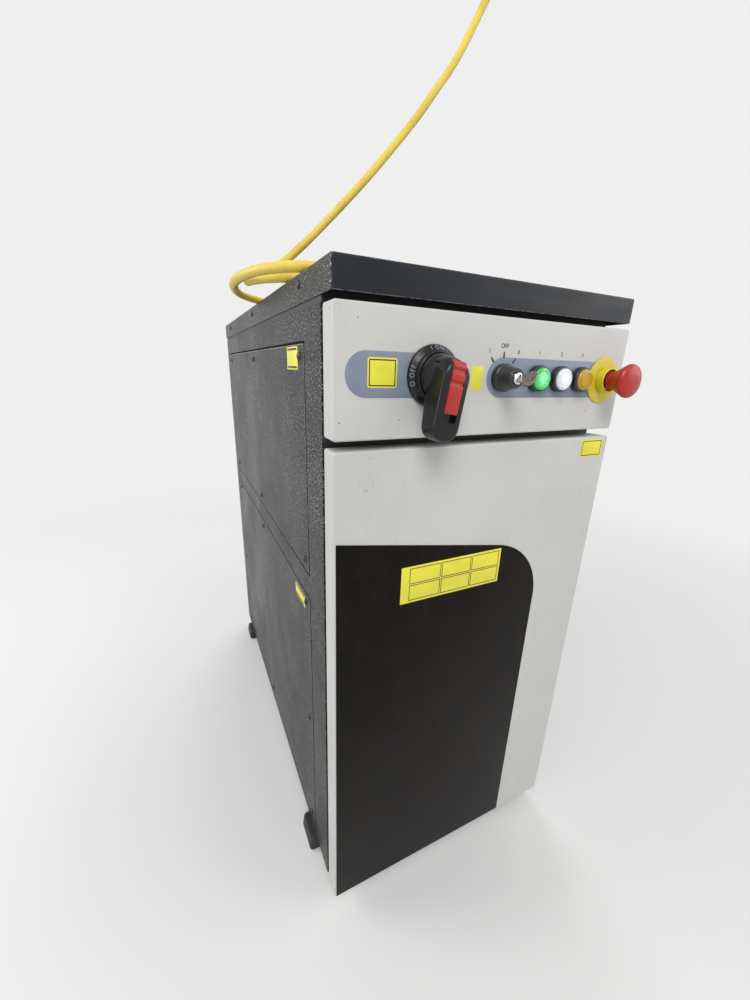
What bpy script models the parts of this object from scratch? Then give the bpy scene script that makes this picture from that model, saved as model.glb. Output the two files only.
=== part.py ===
"""Fiber laser source cabinet: a folded sheet cabinet with a control panel, a door and an output fiber.

Sizes are in millimetres in the cabinet's own frame: x from the middle of its width, y back from the
front faces, z up from the floor. Finished meshes are in metres, with the origin on the floor under the
middle of the cabinet and its fittings.
"""
import math

import bmesh
import bpy
from mathutils import Vector

MM = 0.001
FIT = 0.3

BODY_W = 420.0
BODY_D = 819.2
FOOT_H = 28.0
DOOR_H = 695.6
FINGER_GAP = 10.8
PANEL_H = 130.8
LID_GAP = 7.4
LID_H = 30.2
LID_LAP = 1.2
LID_SETBACK = 2.3
SKIN_DROP = 6.6
PAN_DEPTH = 28.6
SHADOW_GAP = 6.9

SHEET = 1.5
FRAME_SHEET = 2.0
ACCESS_SHEET = 1.2
BEND_R = 2.0
CORNER_R = 2.6
FLANGE_W = 20.0
TRAY_LIP = 30.0

FRAME_DEPTH = 30.0
FRAME_COLUMN = 30.2
FRAME_SILL = 34.0
FRAME_RETURN = 19.5
CROSSBAR_H = 50.0
CROSSBAR_DROP = 23.6
UPPER_WINDOW_H = 100.0
UPPER_COLUMN = 16.2

ACCESS_FRONT = 98.0
ACCESS_BACK_MARGIN = 45.2
ACCESS_GAP = 1.3
LOWER_ACCESS_Z = 43.0
LOWER_ACCESS_H = 454.5
ACCESS_BAND = 40.1
UPPER_ACCESS_DROP = 34.4
LEDGE_W = 24.0
LEDGE_LAP = 6.0

SCREW_INSET = 14.2
SCREW_SHANK_R = 3.0
SCREW_SIDES = 6
LID_SCREW_FRONT = 108.0
LID_SCREW_REAR = 99.2
LID_SCREW_UP = 18.8

FOOT_FRONT = 117.0
FOOT_REAR = 72.2
FOOT_L = 54.0
FOOT_W = 62.0
FOOT_OUT = 12.0

STANDOFF_R = 5.0
STANDOFF_OFF = 43.0

CONTROL_UP = 65.6
DISCONNECT_INSET = 308.0
KEY_INSET = 213.0
START_INSET = 158.0
LAMP_PITCH = 37.5
STOP_INSET = 37.4
BUTTON_HOLE_R = 11.3
BUTTON_TUBE_R = 11.0
BUTTON_TUBE_L = 15.7
TUBE_SIDES = 14
BEZEL_R = 15.7
BEZEL_H = 9.0
LENS_R = 12.9
LENS_H = 12.0
NUT_AF = 27.0
NUT_H = 5.0
BLOCK_W = 28.0
BLOCK_H = 40.0
BLOCK_D = 30.0
START_TRAVEL = 3.0

ESCUTCHEON_R = 32.0
ESCUTCHEON_H = 12.0
HUB_R = 23.0
HUB_H = 31.0
ARM_W = 32.8
ARM_REACH = 65.0
ARM_TOP = 20.0
ARM_FRONT = 45.0
ARM_BACK = 13.5
ARM_TILT = math.radians(9.5)
SLIDE_W = 17.2
SLIDE_TOP = 15.5
SLIDE_BOTTOM = 36.0
SLIDE_TRAVEL = 8.0
SLIDE_PROUD = 1.0
CHANNEL_DEPTH = 5.5
SHAFT_R = 4.0
SHAFT_L = 80.0
SWITCH_W = 60.0
SWITCH_D = 70.0
SWITCH_Y = 62.0
SHELF_LEG = 34.0

KEY_BASE_H = 8.0
KEY_CONE_H = 25.0
KEY_CORE_R = 6.5
KEY_CORE_H = 28.0
KEY_OUT = 52.0
KEY_BOW_R = 10.0
KEY_BOW_WRAP = 48.0
KEY_T = 2.2
KEY_BLADE_W = 7.0
KEY_BLADE_IN = 14.0
KEY_TURN = math.radians(40.0)

LEGEND_R = 29.4
LEGEND_T = 1.5
COLLAR_R = 15.5
COLLAR_WALL = 1.6
COLLAR_H = 13.0
COLLAR_RECESS = 7.0
STOP_TRAVEL = 6.0
STOP_NECK_R = 11.4
STOP_NECK_H = 22.0
STOP_HEAD_R = 21.0
STOP_RIM_H = 36.0
STOP_HEAD_H = 45.0
STOP_STEM_R = 8.6

HINGE_INSET = 4.5
HINGE_Y = 21.0
HINGE_MARGIN = 90.0
KNUCKLE_R = 4.0
KNUCKLE_WRAP = 65.0
HINGE_PIN_R = 2.5
HINGE_HALF = 15.0
EAR_T = 3.0
NOTCH_Y = 14.0
NOTCH_HALF = 27.0
LEAF_REACH = 45.0
LEAF_T = 2.5
CATCH_W = 26.0
CATCH_H = 40.0
CATCH_D = 14.0

FILM_T = 0.3
FILM_DROP = 101.0
FILM_FALL = 0.1687
FILM_RIGHT = 319.5
FILM_CORNER_R = 97.0

POST_W = 30.0
POST_FRONT = 66.0
POST_REAR = 64.2
POST_DROP = 11.0
RAIL_W = 50.0
RAIL_H = 20.0
RAIL_START = 42.0
RAIL_END = 133.6
MODULE_COUNT = 4
MODULE_SIDE = 27.4
MODULE_Y = 75.0
MODULE_AIR = 18.0
HOSE_SPACE = 97.7
COMBINER_H = 90.0
COMBINER_AIR = 20.0
SUPPLY_Y = 160.0
SUPPLY_H = 98.0
HANDLE_BAR_R = 4.0
HANDLE_OUT = 14.0

MANIFOLD_X = 60.0
MANIFOLD_W = 25.0
MANIFOLD_START = 20.0
MANIFOLD_END = 30.0
STUB_R = 6.0
STUB_L = 20.0
WATER_Z = 160.0
WATER_R = 10.0
WATER_OUT = 40.0
POWER_X = -120.0
POWER_Z = 130.0
POWER_R = 12.0
POWER_OUT = 34.0
SOCKET_INSET = 110.0
SOCKET_DROP = 126.0
SOCKET_R = 9.0
FIBER_X = 120.0
FIBER_DROP = 38.0
FIBER_R = 6.0
GLAND_R = 8.0
GLAND_OUT = 26.0

HALF = BODY_W / 2
DOOR_Z = FOOT_H
DOOR_TOP = DOOR_Z + DOOR_H
PANEL_Z = DOOR_TOP + FINGER_GAP
PANEL_TOP = PANEL_Z + PANEL_H
LID_Z = PANEL_TOP + LID_GAP
LID_TOP = LID_Z + LID_H
SKIN_TOP = LID_Z - SKIN_DROP
SKIN_FRONT = PAN_DEPTH + SHADOW_GAP
SKIN_IN = HALF - SHEET
FRAME_HALF = SKIN_IN - FIT
FRAME_TOP = SKIN_TOP - SHEET - FIT
FRAME_BACK = SKIN_FRONT + FRAME_SHEET
WINDOW_HALF = FRAME_HALF - FRAME_COLUMN
CROSSBAR_Z = DOOR_TOP - CROSSBAR_DROP
UPPER_WINDOW_Z = CROSSBAR_Z + CROSSBAR_H
REAR_IN = BODY_D - SHEET
FLANGE_BACK = REAR_IN - FIT
LEDGE_IN = SKIN_IN - SHEET
TRAY_HALF = LEDGE_IN - FIT
TRAY_FRONT = FRAME_BACK + FIT
TRAY_BACK = FLANGE_BACK - SHEET - FIT
TRAY_TOP = DOOR_Z + TRAY_LIP
ACCESS_BACK = BODY_D - ACCESS_BACK_MARGIN
POST_OUT = TRAY_HALF - FRAME_SHEET - FIT
FOOT_Y = (FOOT_FRONT, BODY_D - FOOT_REAR)
POST_Y = (POST_FRONT, BODY_D - POST_REAR)
POST_TOP = SKIN_TOP - POST_DROP
RAIL_PITCH = (DOOR_TOP - RAIL_END - DOOR_Z - RAIL_START) / MODULE_COUNT
RAIL_Z = [DOOR_Z + RAIL_START + i * RAIL_PITCH for i in range(MODULE_COUNT + 1)]
RAIL_Z.append(RAIL_Z[-1] + COMBINER_H + COMBINER_AIR)
MODULE_HALF = POST_OUT - MODULE_SIDE
MODULE_BACK = REAR_IN - HOSE_SPACE
MODULE_H = RAIL_PITCH - MODULE_AIR
MANIFOLD_Z = (RAIL_Z[0] + MANIFOLD_START, RAIL_Z[MODULE_COUNT] - MANIFOLD_END)
SOCKET_X = SOCKET_INSET - HALF
SOCKET_Z = SKIN_TOP - SOCKET_DROP
FIBER_Z = SKIN_TOP - FIBER_DROP
CONTROL_Z = PANEL_Z + CONTROL_UP
DISCONNECT_X = HALF - DISCONNECT_INSET
KEY_X = HALF - KEY_INSET
START_X = HALF - START_INSET
STOP_X = HALF - STOP_INSET
HINGE_X = HALF - HINGE_INSET
HINGE_Z = (DOOR_Z + HINGE_MARGIN, DOOR_TOP - HINGE_MARGIN)
KEY_DIRECTION = Vector((math.sin(KEY_TURN), 0.0, math.cos(KEY_TURN)))
BACK_MOST = BODY_D + FIT + WATER_OUT
Y_MIDDLE = (BACK_MOST - KEY_OUT) / 2

FINISHES = {
    "panel_grey": ((0.72, 0.71, 0.68), 0.45, 0.0),
    "charcoal": ((0.045, 0.047, 0.05), 0.38, 0.0),
    "frame_black": ((0.012, 0.012, 0.013), 0.6, 0.0),
    "black_film": ((0.012, 0.011, 0.01), 0.2, 0.0),
    "black_plastic": ((0.015, 0.016, 0.017), 0.3, 0.0),
    "zinc": ((0.6, 0.6, 0.58), 0.4, 0.9),
    "chrome": ((0.8, 0.8, 0.8), 0.12, 1.0),
    "black_oxide": ((0.02, 0.02, 0.02), 0.4, 0.7),
    "red_plastic": ((0.62, 0.05, 0.03), 0.4, 0.0),
    "green_lens": ((0.02, 0.4, 0.16), 0.25, 0.0),
    "white_lens": ((0.8, 0.8, 0.78), 0.25, 0.0),
    "amber_lens": ((0.85, 0.55, 0.05), 0.25, 0.0),
    "yellow_plastic": ((0.85, 0.7, 0.03), 0.4, 0.0),
    "rubber": ((0.012, 0.012, 0.012), 0.75, 0.0),
    "aluminium": ((0.7, 0.71, 0.72), 0.35, 0.9),
    "brass": ((0.7, 0.5, 0.2), 0.3, 1.0),
    "fiber_yellow": ((0.75, 0.55, 0.06), 0.5, 0.0),
}


def clear_scene():
    """Remove what the file opens with."""
    for item in list(bpy.data.objects):
        bpy.data.objects.remove(item, do_unlink=True)


def finish_material(name):
    """One Principled material for each named finish."""
    if name in bpy.data.materials:
        return bpy.data.materials[name]
    colour, roughness, metallic = FINISHES[name]
    material = bpy.data.materials.new(name)
    material.use_nodes = True
    shader = material.node_tree.nodes["Principled BSDF"]
    shader.inputs["Base Color"].default_value = (*colour, 1.0)
    shader.inputs["Roughness"].default_value = roughness
    shader.inputs["Metallic"].default_value = metallic
    return material


def to_world(point):
    """Cabinet millimetres to metres in the part's frame."""
    return Vector((point[0] * MM, (point[1] - Y_MIDDLE) * MM, point[2] * MM))


def make(name, solid, finish, origin=(0.0, 0.0, 0.0), smooth=True):
    """Turn a millimetre bmesh into a named object whose origin is at the given point."""
    start = Vector(origin)
    for vert in solid.verts:
        vert.co = (vert.co - start) * MM
    mesh = bpy.data.meshes.new(name)
    solid.to_mesh(mesh)
    solid.free()
    mesh.materials.append(finish_material(finish))
    if smooth:
        mesh.shade_smooth()
        mesh.set_sharp_from_angle(angle=math.radians(32.0))
    item = bpy.data.objects.new(name, mesh)
    item.location = to_world(start)
    bpy.context.scene.collection.objects.link(item)
    return item


def axis_point(axis, a, b, h):
    """A point of a plane figure (a, b) at height h along the named axis."""
    if axis == "x":
        return Vector((h, a, b))
    if axis == "y":
        return Vector((a, h, b))
    return Vector((a, b, h))


def outward(solid):
    """Merge doubles and turn all faces out."""
    bmesh.ops.remove_doubles(solid, verts=solid.verts, dist=0.0005)
    bmesh.ops.recalc_face_normals(solid, faces=solid.faces)
    return solid


def box(x, y, z):
    """A box between pairs of limits."""
    solid = bmesh.new()
    bmesh.ops.create_cube(solid, size=1.0)
    for vert in solid.verts:
        vert.co = Vector((x[0] if vert.co.x < 0 else x[1],
                          y[0] if vert.co.y < 0 else y[1],
                          z[0] if vert.co.z < 0 else z[1]))
    return solid


def sheet(outline, axis, low, high, holes=()):
    """An outline with holes, extruded between two heights."""
    solid = bmesh.new()
    edges = []
    for loop in (outline, *holes):
        verts = [solid.verts.new(axis_point(axis, a, b, low)) for a, b in loop]
        edges += [solid.edges.new((verts[i - 1], verts[i])) for i in range(len(verts))]
    bmesh.ops.triangle_fill(solid, use_beauty=True, use_dissolve=False, edges=edges)
    grown = bmesh.ops.extrude_face_region(solid, geom=solid.faces[:])
    moved = [item for item in grown["geom"] if isinstance(item, bmesh.types.BMVert)]
    bmesh.ops.translate(solid, vec=axis_point(axis, 0, 0, high - low), verts=moved)
    return outward(solid)


def rectangle(a, b, radius=0.0, steps=3):
    """A rectangle between pairs of limits, with round corners if a radius is given."""
    if radius <= 0:
        return [(a[0], b[0]), (a[1], b[0]), (a[1], b[1]), (a[0], b[1])]
    points = []
    corners = ((a[1] - radius, b[0] + radius, -90), (a[1] - radius, b[1] - radius, 0),
               (a[0] + radius, b[1] - radius, 90), (a[0] + radius, b[0] + radius, 180))
    for centre_a, centre_b, start in corners:
        for step in range(steps + 1):
            angle = math.radians(start + 90 * step / steps)
            points.append((centre_a + radius * math.cos(angle), centre_b + radius * math.sin(angle)))
    return points


def circle(centre, radius, sides, turn=0.0):
    """A regular polygon round a centre."""
    return [(centre[0] + radius * math.cos(turn + 2 * math.pi * i / sides),
             centre[1] + radius * math.sin(turn + 2 * math.pi * i / sides)) for i in range(sides)]


def arc(centre, radius, start, end, steps):
    """Points on an arc, angles in degrees."""
    angles = [math.radians(start + (end - start) * i / steps) for i in range(steps + 1)]
    return [(centre[0] + radius * math.cos(t), centre[1] + radius * math.sin(t)) for t in angles]


def loft(loops):
    """A closed body through loops with equal numbers of points, capped at both ends."""
    solid = bmesh.new()
    rings = [[solid.verts.new(point) for point in loop] for loop in loops]
    for low, high in zip(rings, rings[1:]):
        for i in range(len(low)):
            solid.faces.new((low[i - 1], low[i], high[i], high[i - 1]))
    solid.faces.new(rings[0])
    solid.faces.new(rings[-1])
    return outward(solid)


def turned(profile, centre, direction, sides=24, hollow=False):
    """A profile of (radius, height) spun round an axis; hollow closes it away from the axis."""
    solid = bmesh.new()
    verts = [solid.verts.new((radius, 0.0, height)) for radius, height in profile]
    edges = [solid.edges.new(pair) for pair in zip(verts, verts[1:])]
    if hollow:
        edges.append(solid.edges.new((verts[-1], verts[0])))
    bmesh.ops.spin(solid, geom=verts + edges, cent=(0, 0, 0), axis=(0, 0, 1),
                   angle=2 * math.pi, steps=sides, use_merge=True)
    bmesh.ops.remove_doubles(solid, verts=solid.verts, dist=0.0005)
    turn = Vector((0, 0, 1)).rotation_difference(Vector(direction)).to_matrix()
    bmesh.ops.rotate(solid, cent=(0, 0, 0), matrix=turn, verts=solid.verts)
    bmesh.ops.translate(solid, vec=Vector(centre), verts=solid.verts)
    return outward(solid)


def rod(radius, low, high, centre, direction, sides=16):
    """A plain round bar between two heights along a direction."""
    return turned([(0, low), (radius, low), (radius, high), (0, high)], centre, direction, sides)


def group(solids):
    """Several separate solids in one bmesh."""
    whole = bmesh.new()
    for solid in solids:
        piece = bpy.data.meshes.new("piece")
        solid.to_mesh(piece)
        solid.free()
        whole.from_mesh(piece)
        bpy.data.meshes.remove(piece)
    return whole


def combine(first, second, operation):
    """Boolean of two bmeshes with the exact solver."""
    pair = []
    for solid in (first, second):
        mesh = bpy.data.meshes.new("operand")
        solid.to_mesh(mesh)
        solid.free()
        item = bpy.data.objects.new("operand", mesh)
        bpy.context.scene.collection.objects.link(item)
        pair.append(item)
    modifier = pair[0].modifiers.new("cut", "BOOLEAN")
    modifier.operation = operation
    modifier.object = pair[1]
    modifier.solver = "EXACT"
    graph = bpy.context.evaluated_depsgraph_get()
    shape = pair[0].evaluated_get(graph).to_mesh()
    result = bmesh.new()
    result.from_mesh(shape)
    pair[0].evaluated_get(graph).to_mesh_clear()
    for item in pair:
        mesh = item.data
        bpy.data.objects.remove(item, do_unlink=True)
        bpy.data.meshes.remove(mesh)
    bmesh.ops.remove_doubles(result, verts=result.verts, dist=0.0005)
    return result


def fuse(solids):
    """Union of overlapping bmeshes."""
    whole = solids[0]
    for solid in solids[1:]:
        whole = combine(whole, solid, "UNION")
    return whole


def tray(limits_a, limits_b, axis, face, rim, wall, steps=3):
    """A folded pan: outer face, rounded folds and returns, open at the rim."""
    depth = 1.0 if rim > face else -1.0

    def loop(inset, height):
        a = (limits_a[0] + inset, limits_a[1] - inset)
        b = (limits_b[0] + inset, limits_b[1] - inset)
        points = rectangle(a, b, max(CORNER_R - inset, 0.4), 2)
        return [axis_point(axis, p, q, height) for p, q in points]

    loops = [loop(wall, face + depth * wall), loop(wall, rim), loop(0.0, rim)]
    for step in range(steps + 1):
        angle = math.pi / 2 * step / steps
        inset = BEND_R * (1 - math.cos(angle))
        loops.append(loop(inset, face + depth * BEND_R * (1 - math.sin(angle))))
    return loft(loops)


def placed(solid, place):
    """Move a body that was modelled round the origin to its place."""
    bmesh.ops.translate(solid, vec=Vector(place), verts=solid.verts)
    return solid


def mirrored(solid):
    """The same body on the other side of the cabinet."""
    for vert in solid.verts:
        vert.co.x = -vert.co.x
    bmesh.ops.reverse_faces(solid, faces=solid.faces)
    return solid


def make_base_tray():
    """Floor tray with four upturned lips; posts and feet fasten to it."""
    def loop(inset, z):
        points = rectangle((-TRAY_HALF + inset, TRAY_HALF - inset), (TRAY_FRONT + inset, TRAY_BACK - inset))
        return [axis_point("z", a, b, z) for a, b in points]

    wall = FRAME_SHEET
    solid = loft([loop(0, DOOR_Z), loop(0, TRAY_TOP), loop(wall, TRAY_TOP), loop(wall, DOOR_Z + wall)])
    return make("base_tray", solid, "frame_black", (0, BODY_D / 2, DOOR_Z))


def make_foot(side, row):
    """One moulded foot, which sticks out past the side."""
    y = FOOT_Y[row]
    taper = 4.0
    out = HALF + FOOT_OUT
    loops = []
    levels = ((0.0, taper), (taper, 0.0), (FOOT_H - taper, taper / 2), (FOOT_H - FIT, taper))
    for z, inset in levels:
        a = sorted((side * (out - inset), side * (out - FOOT_W + inset)))
        b = (y - FOOT_L / 2 + inset, y + FOOT_L / 2 - inset)
        loops.append([axis_point("z", p, q, z) for p, q in rectangle(a, b, 5.0, 2)])
    name = f"{('front', 'rear')[row]}_foot_{'right' if side > 0 else 'left'}"
    return make(name, loft(loops), "rubber", (side * (out - FOOT_W / 2), y, 0))


def make_front_frame():
    """Welded front frame: a plate with two windows, its returns, and what is welded to it.

    Four studs carry the control panel, two brackets the door's hinges and a bent shelf the switch.
    """
    plate = sheet(
        rectangle((-FRAME_HALF, FRAME_HALF), (DOOR_Z, FRAME_TOP)), "y", SKIN_FRONT, FRAME_BACK,
        holes=(rectangle((-WINDOW_HALF, WINDOW_HALF), (DOOR_Z + FRAME_SILL, CROSSBAR_Z)),
               rectangle((-FRAME_HALF + UPPER_COLUMN, FRAME_HALF - UPPER_COLUMN),
                         (UPPER_WINDOW_Z, UPPER_WINDOW_Z + UPPER_WINDOW_H))))
    wall = FRAME_SHEET
    overlap = wall / 2
    back = SKIN_FRONT + FRAME_DEPTH
    returns = [box((side * FRAME_HALF - (wall if side > 0 else 0), side * FRAME_HALF + (0 if side > 0 else wall)),
                   (SKIN_FRONT + overlap, back), (TRAY_TOP + FIT, FRAME_TOP)) for side in (-1, 1)]
    ring = sheet(
        rectangle((-WINDOW_HALF - wall, WINDOW_HALF + wall), (DOOR_Z + FRAME_SILL - wall, CROSSBAR_Z + wall)),
        "y", SKIN_FRONT + overlap, FRAME_BACK + FRAME_RETURN,
        holes=(rectangle((-WINDOW_HALF, WINDOW_HALF), (DOOR_Z + FRAME_SILL, CROSSBAR_Z)),))
    solid = fuse([plate, group(returns), ring, group(panel_studs()), group(hinge_brackets()), switch_shelf()])
    return make("front_frame", solid, "frame_black", (0, SKIN_FRONT, DOOR_Z))


def access_limits():
    """Height limits of the lower and the upper access panel."""
    lower_top = LOWER_ACCESS_Z + LOWER_ACCESS_H
    return ((LOWER_ACCESS_Z, lower_top), (lower_top + ACCESS_BAND, SKIN_TOP - UPPER_ACCESS_DROP))


def access_screws():
    """Screw places (y, z) of the lower and the upper access panel."""
    front = ACCESS_FRONT + SCREW_INSET + LEDGE_LAP
    back = ACCESS_BACK - SCREW_INSET - LEDGE_LAP
    middle = (front + back) / 2
    places = []
    for low, high in access_limits():
        rows = [(y, z) for y in (front, middle, back) for z in (low + SCREW_INSET, high - SCREW_INSET)]
        places.append(rows)
    low, high = access_limits()[0]
    places[0] += [(front, (low + high) / 2), (back, (low + high) / 2)]
    return places


def make_side_skin(side):
    """One outer side sheet with two rebated windows, a top flange and a rear flange."""
    skin = box((-HALF, -SKIN_IN), (SKIN_FRONT, BODY_D), (DOOR_Z, SKIN_TOP))
    pads = []
    recesses = []
    windows = []
    for low, high in access_limits():
        grow = ACCESS_GAP + LEDGE_LAP
        pads.append(box((-SKIN_IN - SHEET / 2, -LEDGE_IN),
                        (ACCESS_FRONT - grow, ACCESS_BACK + grow), (low - grow, high + grow)))
        recesses.append(box((-HALF - 1, -SKIN_IN), (ACCESS_FRONT - ACCESS_GAP, ACCESS_BACK + ACCESS_GAP),
                            (low - ACCESS_GAP, high + ACCESS_GAP)))
        windows.append(box((-HALF - 2, -LEDGE_IN + 1), (ACCESS_FRONT + LEDGE_W, ACCESS_BACK - LEDGE_W),
                           (low + LEDGE_W, high - LEDGE_W)))
    top_flange = box((-SKIN_IN - SHEET / 2, -SKIN_IN + FLANGE_W), (SKIN_FRONT, FLANGE_BACK),
                     (SKIN_TOP - SHEET, SKIN_TOP))
    rear_flange = box((-SKIN_IN - SHEET / 2, -SKIN_IN + FLANGE_W), (FLANGE_BACK - SHEET, FLANGE_BACK),
                      (DOOR_Z, SKIN_TOP - SHEET / 2))
    solid = fuse([skin, group(pads), top_flange, rear_flange])
    solid = combine(solid, group(recesses), "DIFFERENCE")
    solid = combine(solid, group(windows), "DIFFERENCE")
    holes = [rod(SCREW_SHANK_R + FIT, LEDGE_IN - 2, HALF + 2, (0, y, z), (-1, 0, 0), SCREW_SIDES)
             for rows in access_screws() for y, z in rows]
    holes += [rod(SCREW_SHANK_R + FIT, -5, 5, (-x, FLANGE_BACK, z), (0, 1, 0), SCREW_SIDES)
              for x, z in rear_screws() if x > 0]
    solid = combine(solid, group(holes), "DIFFERENCE")
    if side > 0:
        solid = mirrored(solid)
    name = "side_skin_right" if side > 0 else "side_skin_left"
    return make(name, solid, "charcoal", (side * HALF, BODY_D / 2, DOOR_Z))


def make_access_panel(side, level):
    """A flush panel that fills a window of the side skin."""
    low, high = access_limits()[level]
    holes = [circle((y, z), SCREW_SHANK_R + FIT, SCREW_SIDES, math.pi / SCREW_SIDES)
             for y, z in access_screws()[level]]
    solid = sheet(rectangle((ACCESS_FRONT, ACCESS_BACK), (low, high), 3.0, 2), "x",
                  -HALF, -HALF + ACCESS_SHEET, holes)
    if side > 0:
        solid = mirrored(solid)
    name = f"access_panel_{('lower', 'upper')[level]}_{'right' if side > 0 else 'left'}"
    return make(name, solid, "charcoal", (side * HALF, BODY_D / 2, low))


def rear_screws():
    """Screw places (x, z) of the rear panel."""
    x = SKIN_IN - FLANGE_W / 2
    low = DOOR_Z + TRAY_LIP + SCREW_INSET
    high = SKIN_TOP - 2 * SCREW_INSET
    count = 4
    return [(side * x, low + (high - low) * i / (count - 1)) for side in (-1, 1) for i in range(count)]


def make_rear_panel():
    """Rear sheet between the side skins, with holes for the fittings."""
    holes = [circle(place, SCREW_SHANK_R + FIT, SCREW_SIDES) for place in rear_screws()]
    holes += [circle((side * MANIFOLD_X, WATER_Z), WATER_R + FIT, 12) for side in (-1, 1)]
    holes.append(circle((POWER_X, POWER_Z), POWER_R + FIT, 14))
    holes.append(circle((FIBER_X, FIBER_Z), GLAND_R + FIT, 16))
    solid = sheet(rectangle((-FRAME_HALF, FRAME_HALF), (DOOR_Z, FRAME_TOP)), "y", REAR_IN, BODY_D, holes)
    return make("rear_panel", solid, "charcoal", (0, BODY_D, DOOR_Z))


def make_top_frame():
    """Angle ring on the side skins that the lid drops over."""
    out = HALF + LID_LAP - SHEET - FIT
    back = BODY_D + LID_LAP - SHEET - FIT
    top = LID_TOP - SHEET - FIT
    base = SKIN_TOP + FIT
    wall = SHEET
    outer = rectangle((-out, out), (SKIN_FRONT, back), CORNER_R)
    upright = sheet(outer, "z", base, top, holes=(rectangle((-out + wall, out - wall),
                                                            (SKIN_FRONT + wall, back - wall)),))
    inset = wall + FLANGE_W
    flange = sheet(rectangle((-out + wall / 2, out - wall / 2), (SKIN_FRONT + wall / 2, back - wall / 2),
                             CORNER_R - wall / 2),
                   "z", base, base + wall,
                   holes=(rectangle((-out + inset, out - inset), (SKIN_FRONT + inset, back - inset)),))
    solid = combine(fuse([upright, flange]), group(lid_screw_holes()), "DIFFERENCE")
    return make("top_frame", solid, "frame_black", (0, BODY_D / 2, base))


def lid_screw_places():
    """Places of the screws in the lid's side skirts: (side, y, z)."""
    back = BODY_D - LID_SCREW_REAR
    rows = (LID_SCREW_FRONT, (LID_SCREW_FRONT + back) / 2, back)
    return [(side, y, LID_Z + LID_SCREW_UP) for side in (-1, 1) for y in rows]


def lid_screw_holes():
    """Cutters for the screws through lid and top frame."""
    return [rod(SCREW_SHANK_R + FIT, HALF - 4, HALF + 4, (0, y, z), (side, 0, 0), SCREW_SIDES)
            for side, y, z in lid_screw_places()]


def make_lid():
    """Folded lid tray, a little wider than the body."""
    solid = tray((-HALF - LID_LAP, HALF + LID_LAP), (LID_SETBACK, BODY_D + LID_LAP), "z",
                 LID_TOP, LID_Z, SHEET)
    solid = combine(solid, group(lid_screw_holes()), "DIFFERENCE")
    return make("lid", solid, "charcoal", (0, BODY_D / 2, LID_Z))


def control_places():
    """The x of each push-through control."""
    return (KEY_X, START_X, START_X + LAMP_PITCH, START_X + 2 * LAMP_PITCH, STOP_X)


def make_control_panel():
    """Folded control pan with its round holes."""
    solid = tray((-HALF, HALF), (PANEL_Z, PANEL_TOP), "y", 0.0, PAN_DEPTH, SHEET)
    holes = [rod(BUTTON_HOLE_R, -5, 5, (x, 0, CONTROL_Z), (0, 1, 0), TUBE_SIDES) for x in control_places()]
    holes.append(rod(SHAFT_R + 2, -5, 5, (DISCONNECT_X, 0, CONTROL_Z), (0, 1, 0), 16))
    solid = combine(solid, group(holes), "DIFFERENCE")
    return make("control_panel", solid, "panel_grey", (0, 0, PANEL_Z))


def panel_studs():
    """Four round studs on the frame that the control pan fastens to."""
    x = FRAME_HALF - UPPER_COLUMN / 2
    return [rod(STANDOFF_R, SHEET + FIT, SKIN_FRONT + FRAME_SHEET / 2, (side * x, 0, CONTROL_Z + up),
                (0, 1, 0), 8) for side in (-1, 1) for up in (-STANDOFF_OFF, STANDOFF_OFF)]


def make_door(axis):
    """Folded door pan, notched round its two concealed hinges."""
    solid = tray((-HALF, HALF), (DOOR_Z, DOOR_TOP), "y", 0.0, PAN_DEPTH, SHEET)
    notches = [box((HALF - SHEET - 1, HALF + 1), (NOTCH_Y, PAN_DEPTH + 1), (z - NOTCH_HALF, z + NOTCH_HALF))
               for z in HINGE_Z]
    solid = combine(solid, group(notches), "DIFFERENCE")
    return make_on(axis, "door", solid, "panel_grey", (HINGE_X, HINGE_Y, DOOR_Z))


def make_on(axis, name, solid, finish, origin):
    """Make a piece that moves with an axis empty."""
    item = make(name, solid, finish, origin)
    if axis is not None:
        item.parent = axis
        item.location = to_world(origin) - axis.location
    return item


def make_axis(name, point):
    """An empty on a joint's axis."""
    empty = bpy.data.objects.new(name, None)
    empty.location = to_world(point)
    empty.empty_display_size = 0.03
    bpy.context.scene.collection.objects.link(empty)
    return empty


def film_outline():
    """Black field on the door: sloping top edge and one large round corner."""
    left = -HALF + BEND_R
    bottom = DOOR_Z + BEND_R
    right = FILM_RIGHT - HALF
    slope = math.atan(FILM_FALL)
    top_left = (left, DOOR_TOP - FILM_DROP - FILM_FALL * BEND_R)
    centre_x = right - FILM_CORNER_R
    along = (centre_x + FILM_CORNER_R * math.sin(slope)) - left
    tangent_z = top_left[1] - FILM_FALL * along
    centre_z = tangent_z - FILM_CORNER_R * math.cos(slope)
    corner = arc((centre_x, centre_z), FILM_CORNER_R, 0, 90 - math.degrees(slope), 14)
    return [(left, bottom), (right, bottom)] + corner + [top_left]


def make_film(axis):
    """Thin film that carries the black field."""
    solid = sheet(film_outline(), "y", -FIT - FILM_T, -FIT)
    return make_on(axis, "door_film", solid, "black_film", (HINGE_X, -FIT, DOOR_Z))


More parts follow.
